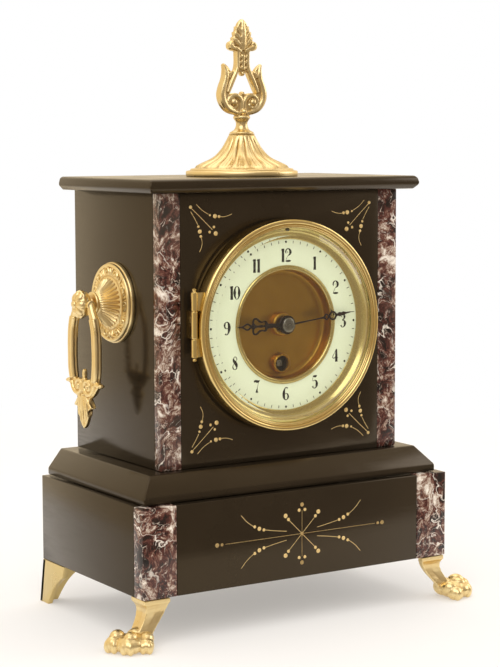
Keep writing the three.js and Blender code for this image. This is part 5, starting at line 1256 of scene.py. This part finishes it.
def studioFloor(tree, where):
    # Matt white paper, swept up at the back. Near the clock a warm glow makes up part of what the camera and
    # reflections see: painted light that lifts and warms the clock's shadow. Far from the clock it turns to plain white
    # in the camera's view.
    reach = addNode(tree, "VectorMath", {"operation": "LENGTH"}, {0: where})
    fade = {"From Min": studio["near"], "From Max": studio["far"], "To Min": studio["glowShare"]}
    away = addNode(tree, "MapRange", {"interpolation_type": "SMOOTHSTEP"} | fade, {"Value": reach})
    path, seen = whiteRays(tree)
    share = addNode(tree, "Math", {"operation": "MULTIPLY"}, {0: away, 1: seen})
    paper = addNode(tree, "BsdfDiffuse", {"Color": studio["floor"]})
    tones = {"data_type": "RGBA", 6: studio["around"], 7: (1, 1, 1, 1)}
    distant = addNode(tree, "Mix", tones, {0: path["Is Camera Ray"]})
    # painted light: near the clock the glow colour is warm, which warms the shadow there
    warm = addNode(tree, "Mix", {"data_type": "RGBA", 6: studio["glow"]}, {0: away, 7: distant})
    white = addNode(tree, "Emission", {"Strength": studio["white"]}, {"Color": warm})
    mixed = addNode(tree, "MixShader", links={0: share, 1: paper, 2: white})
    # the polished front mirrors a dark room from the table's edge on
    place = addNode(tree, "SeparateXYZ", links={0: where})
    beyond = addNode(tree, "Math", {"operation": "LESS_THAN", 1: studio["mirrored"]}, {0: place.outputs[1]})
    hidden = addNode(tree, "Math", {"operation": "MULTIPLY"}, {0: beyond, 1: path["Is Glossy Ray"]})
    nothing = addNode(tree, "BsdfTransparent")
    return addNode(tree, "MixShader", links={0: hidden, 1: mixed, 2: nothing})


sweep = studio["sweep"]
back, curve = sweep["back"], sweep["curve"]
line = [(sweep["front"], 0), (back, 0), *arc(back, curve, curve, -80, 0, 12), (back + curve, sweep["top"])]
shape = bmesh.new()
corners = [shape.verts.new((-sweep["half"], y, z)) for y, z in line]
made = bmesh.ops.extrude_edge_only(shape, edges=[shape.edges.new(pair) for pair in zip(corners, corners[1:])])
moved = [item for item in made["geom"] if isinstance(item, bmesh.types.BMVert)]
bmesh.ops.translate(shape, verts=moved, vec=(2 * sweep["half"], 0, 0))
mesh = asMesh("paper_sweep", shape)
mesh.polygons.foreach_set("use_smooth", [True] * len(mesh.polygons))
mesh.materials.append(makeLook("white paper sweep", studioFloor))
paper = addObject("paper_sweep", mesh)

world = bpy.data.worlds.new("studio")
bpy.context.scene.world = world
world.use_nodes = True
tree = world.node_tree
tree.nodes.clear()
direction = addNode(tree, "SeparateXYZ", links={0: addNode(tree, "TexCoord").outputs["Generated"]})
behind = addNode(tree, "MapRange", {"From Min": -0.75, "From Max": 0.25}, {"Value": direction.outputs[1]})
tones = {"data_type": "RGBA", 6: studio["behindCamera"], 7: studio["around"]}
room = addNode(tree, "Mix", tones, {0: behind})
path, seen = whiteRays(tree)
shine = addNode(tree, "Mix", {"data_type": "RGBA", 7: (1, 1, 1, 1)}, {0: path["Is Camera Ray"], 6: room})
ambient = addNode(tree, "Background", {"Color": studio["sky"], "Strength": studio["ambient"]})
backdrop = addNode(tree, "Background", {"Strength": studio["white"]}, {"Color": shine})
mixed = addNode(tree, "MixShader", links={0: seen, 1: ambient, 2: backdrop})
addNode(tree, "OutputWorld", links={"Surface": mixed})

for lamp in studio["lamps"]:
    light = bpy.data.lights.new(lamp["name"], "AREA")
    light.shape = "DISK"
    light.size = lamp["size"]
    light.energy = lamp["power"]
    light.color = toLinear(lamp["colour"])[:3]
    holder = addObject(lamp["name"], light)
    holder.location = lamp["place"]
    holder.rotation_euler = (Vector(studio["aim"]) - Vector(lamp["place"])).to_track_quat("-Z", "Y").to_euler()

camera = {
    "place": (-0.5833, -0.914208, 0.27973),
    "towards": (0.534213, 0.838634, -0.106349),
    "roll": -0.14,
    "lens": 98.83,
}
lens = bpy.data.cameras.new("camera")
lens.lens = camera["lens"]
lens.sensor_width = 36
lens.clip_start = 0.05
holder = addObject("camera", lens)
towards = Vector(camera["towards"]).normalized()
right = towards.cross(Vector((0, 0, 1))).normalized()
up = right.cross(towards)
turn = Matrix((right, up, -towards)).transposed().to_4x4()
holder.matrix_world = shift(*camera["place"]) @ turn @ turnAbout("Z", camera["roll"])
bpy.context.scene.camera = holder
bpy.context.scene.view_settings.view_transform = "Standard"

bpy.context.view_layer.update()
print("scene is set")
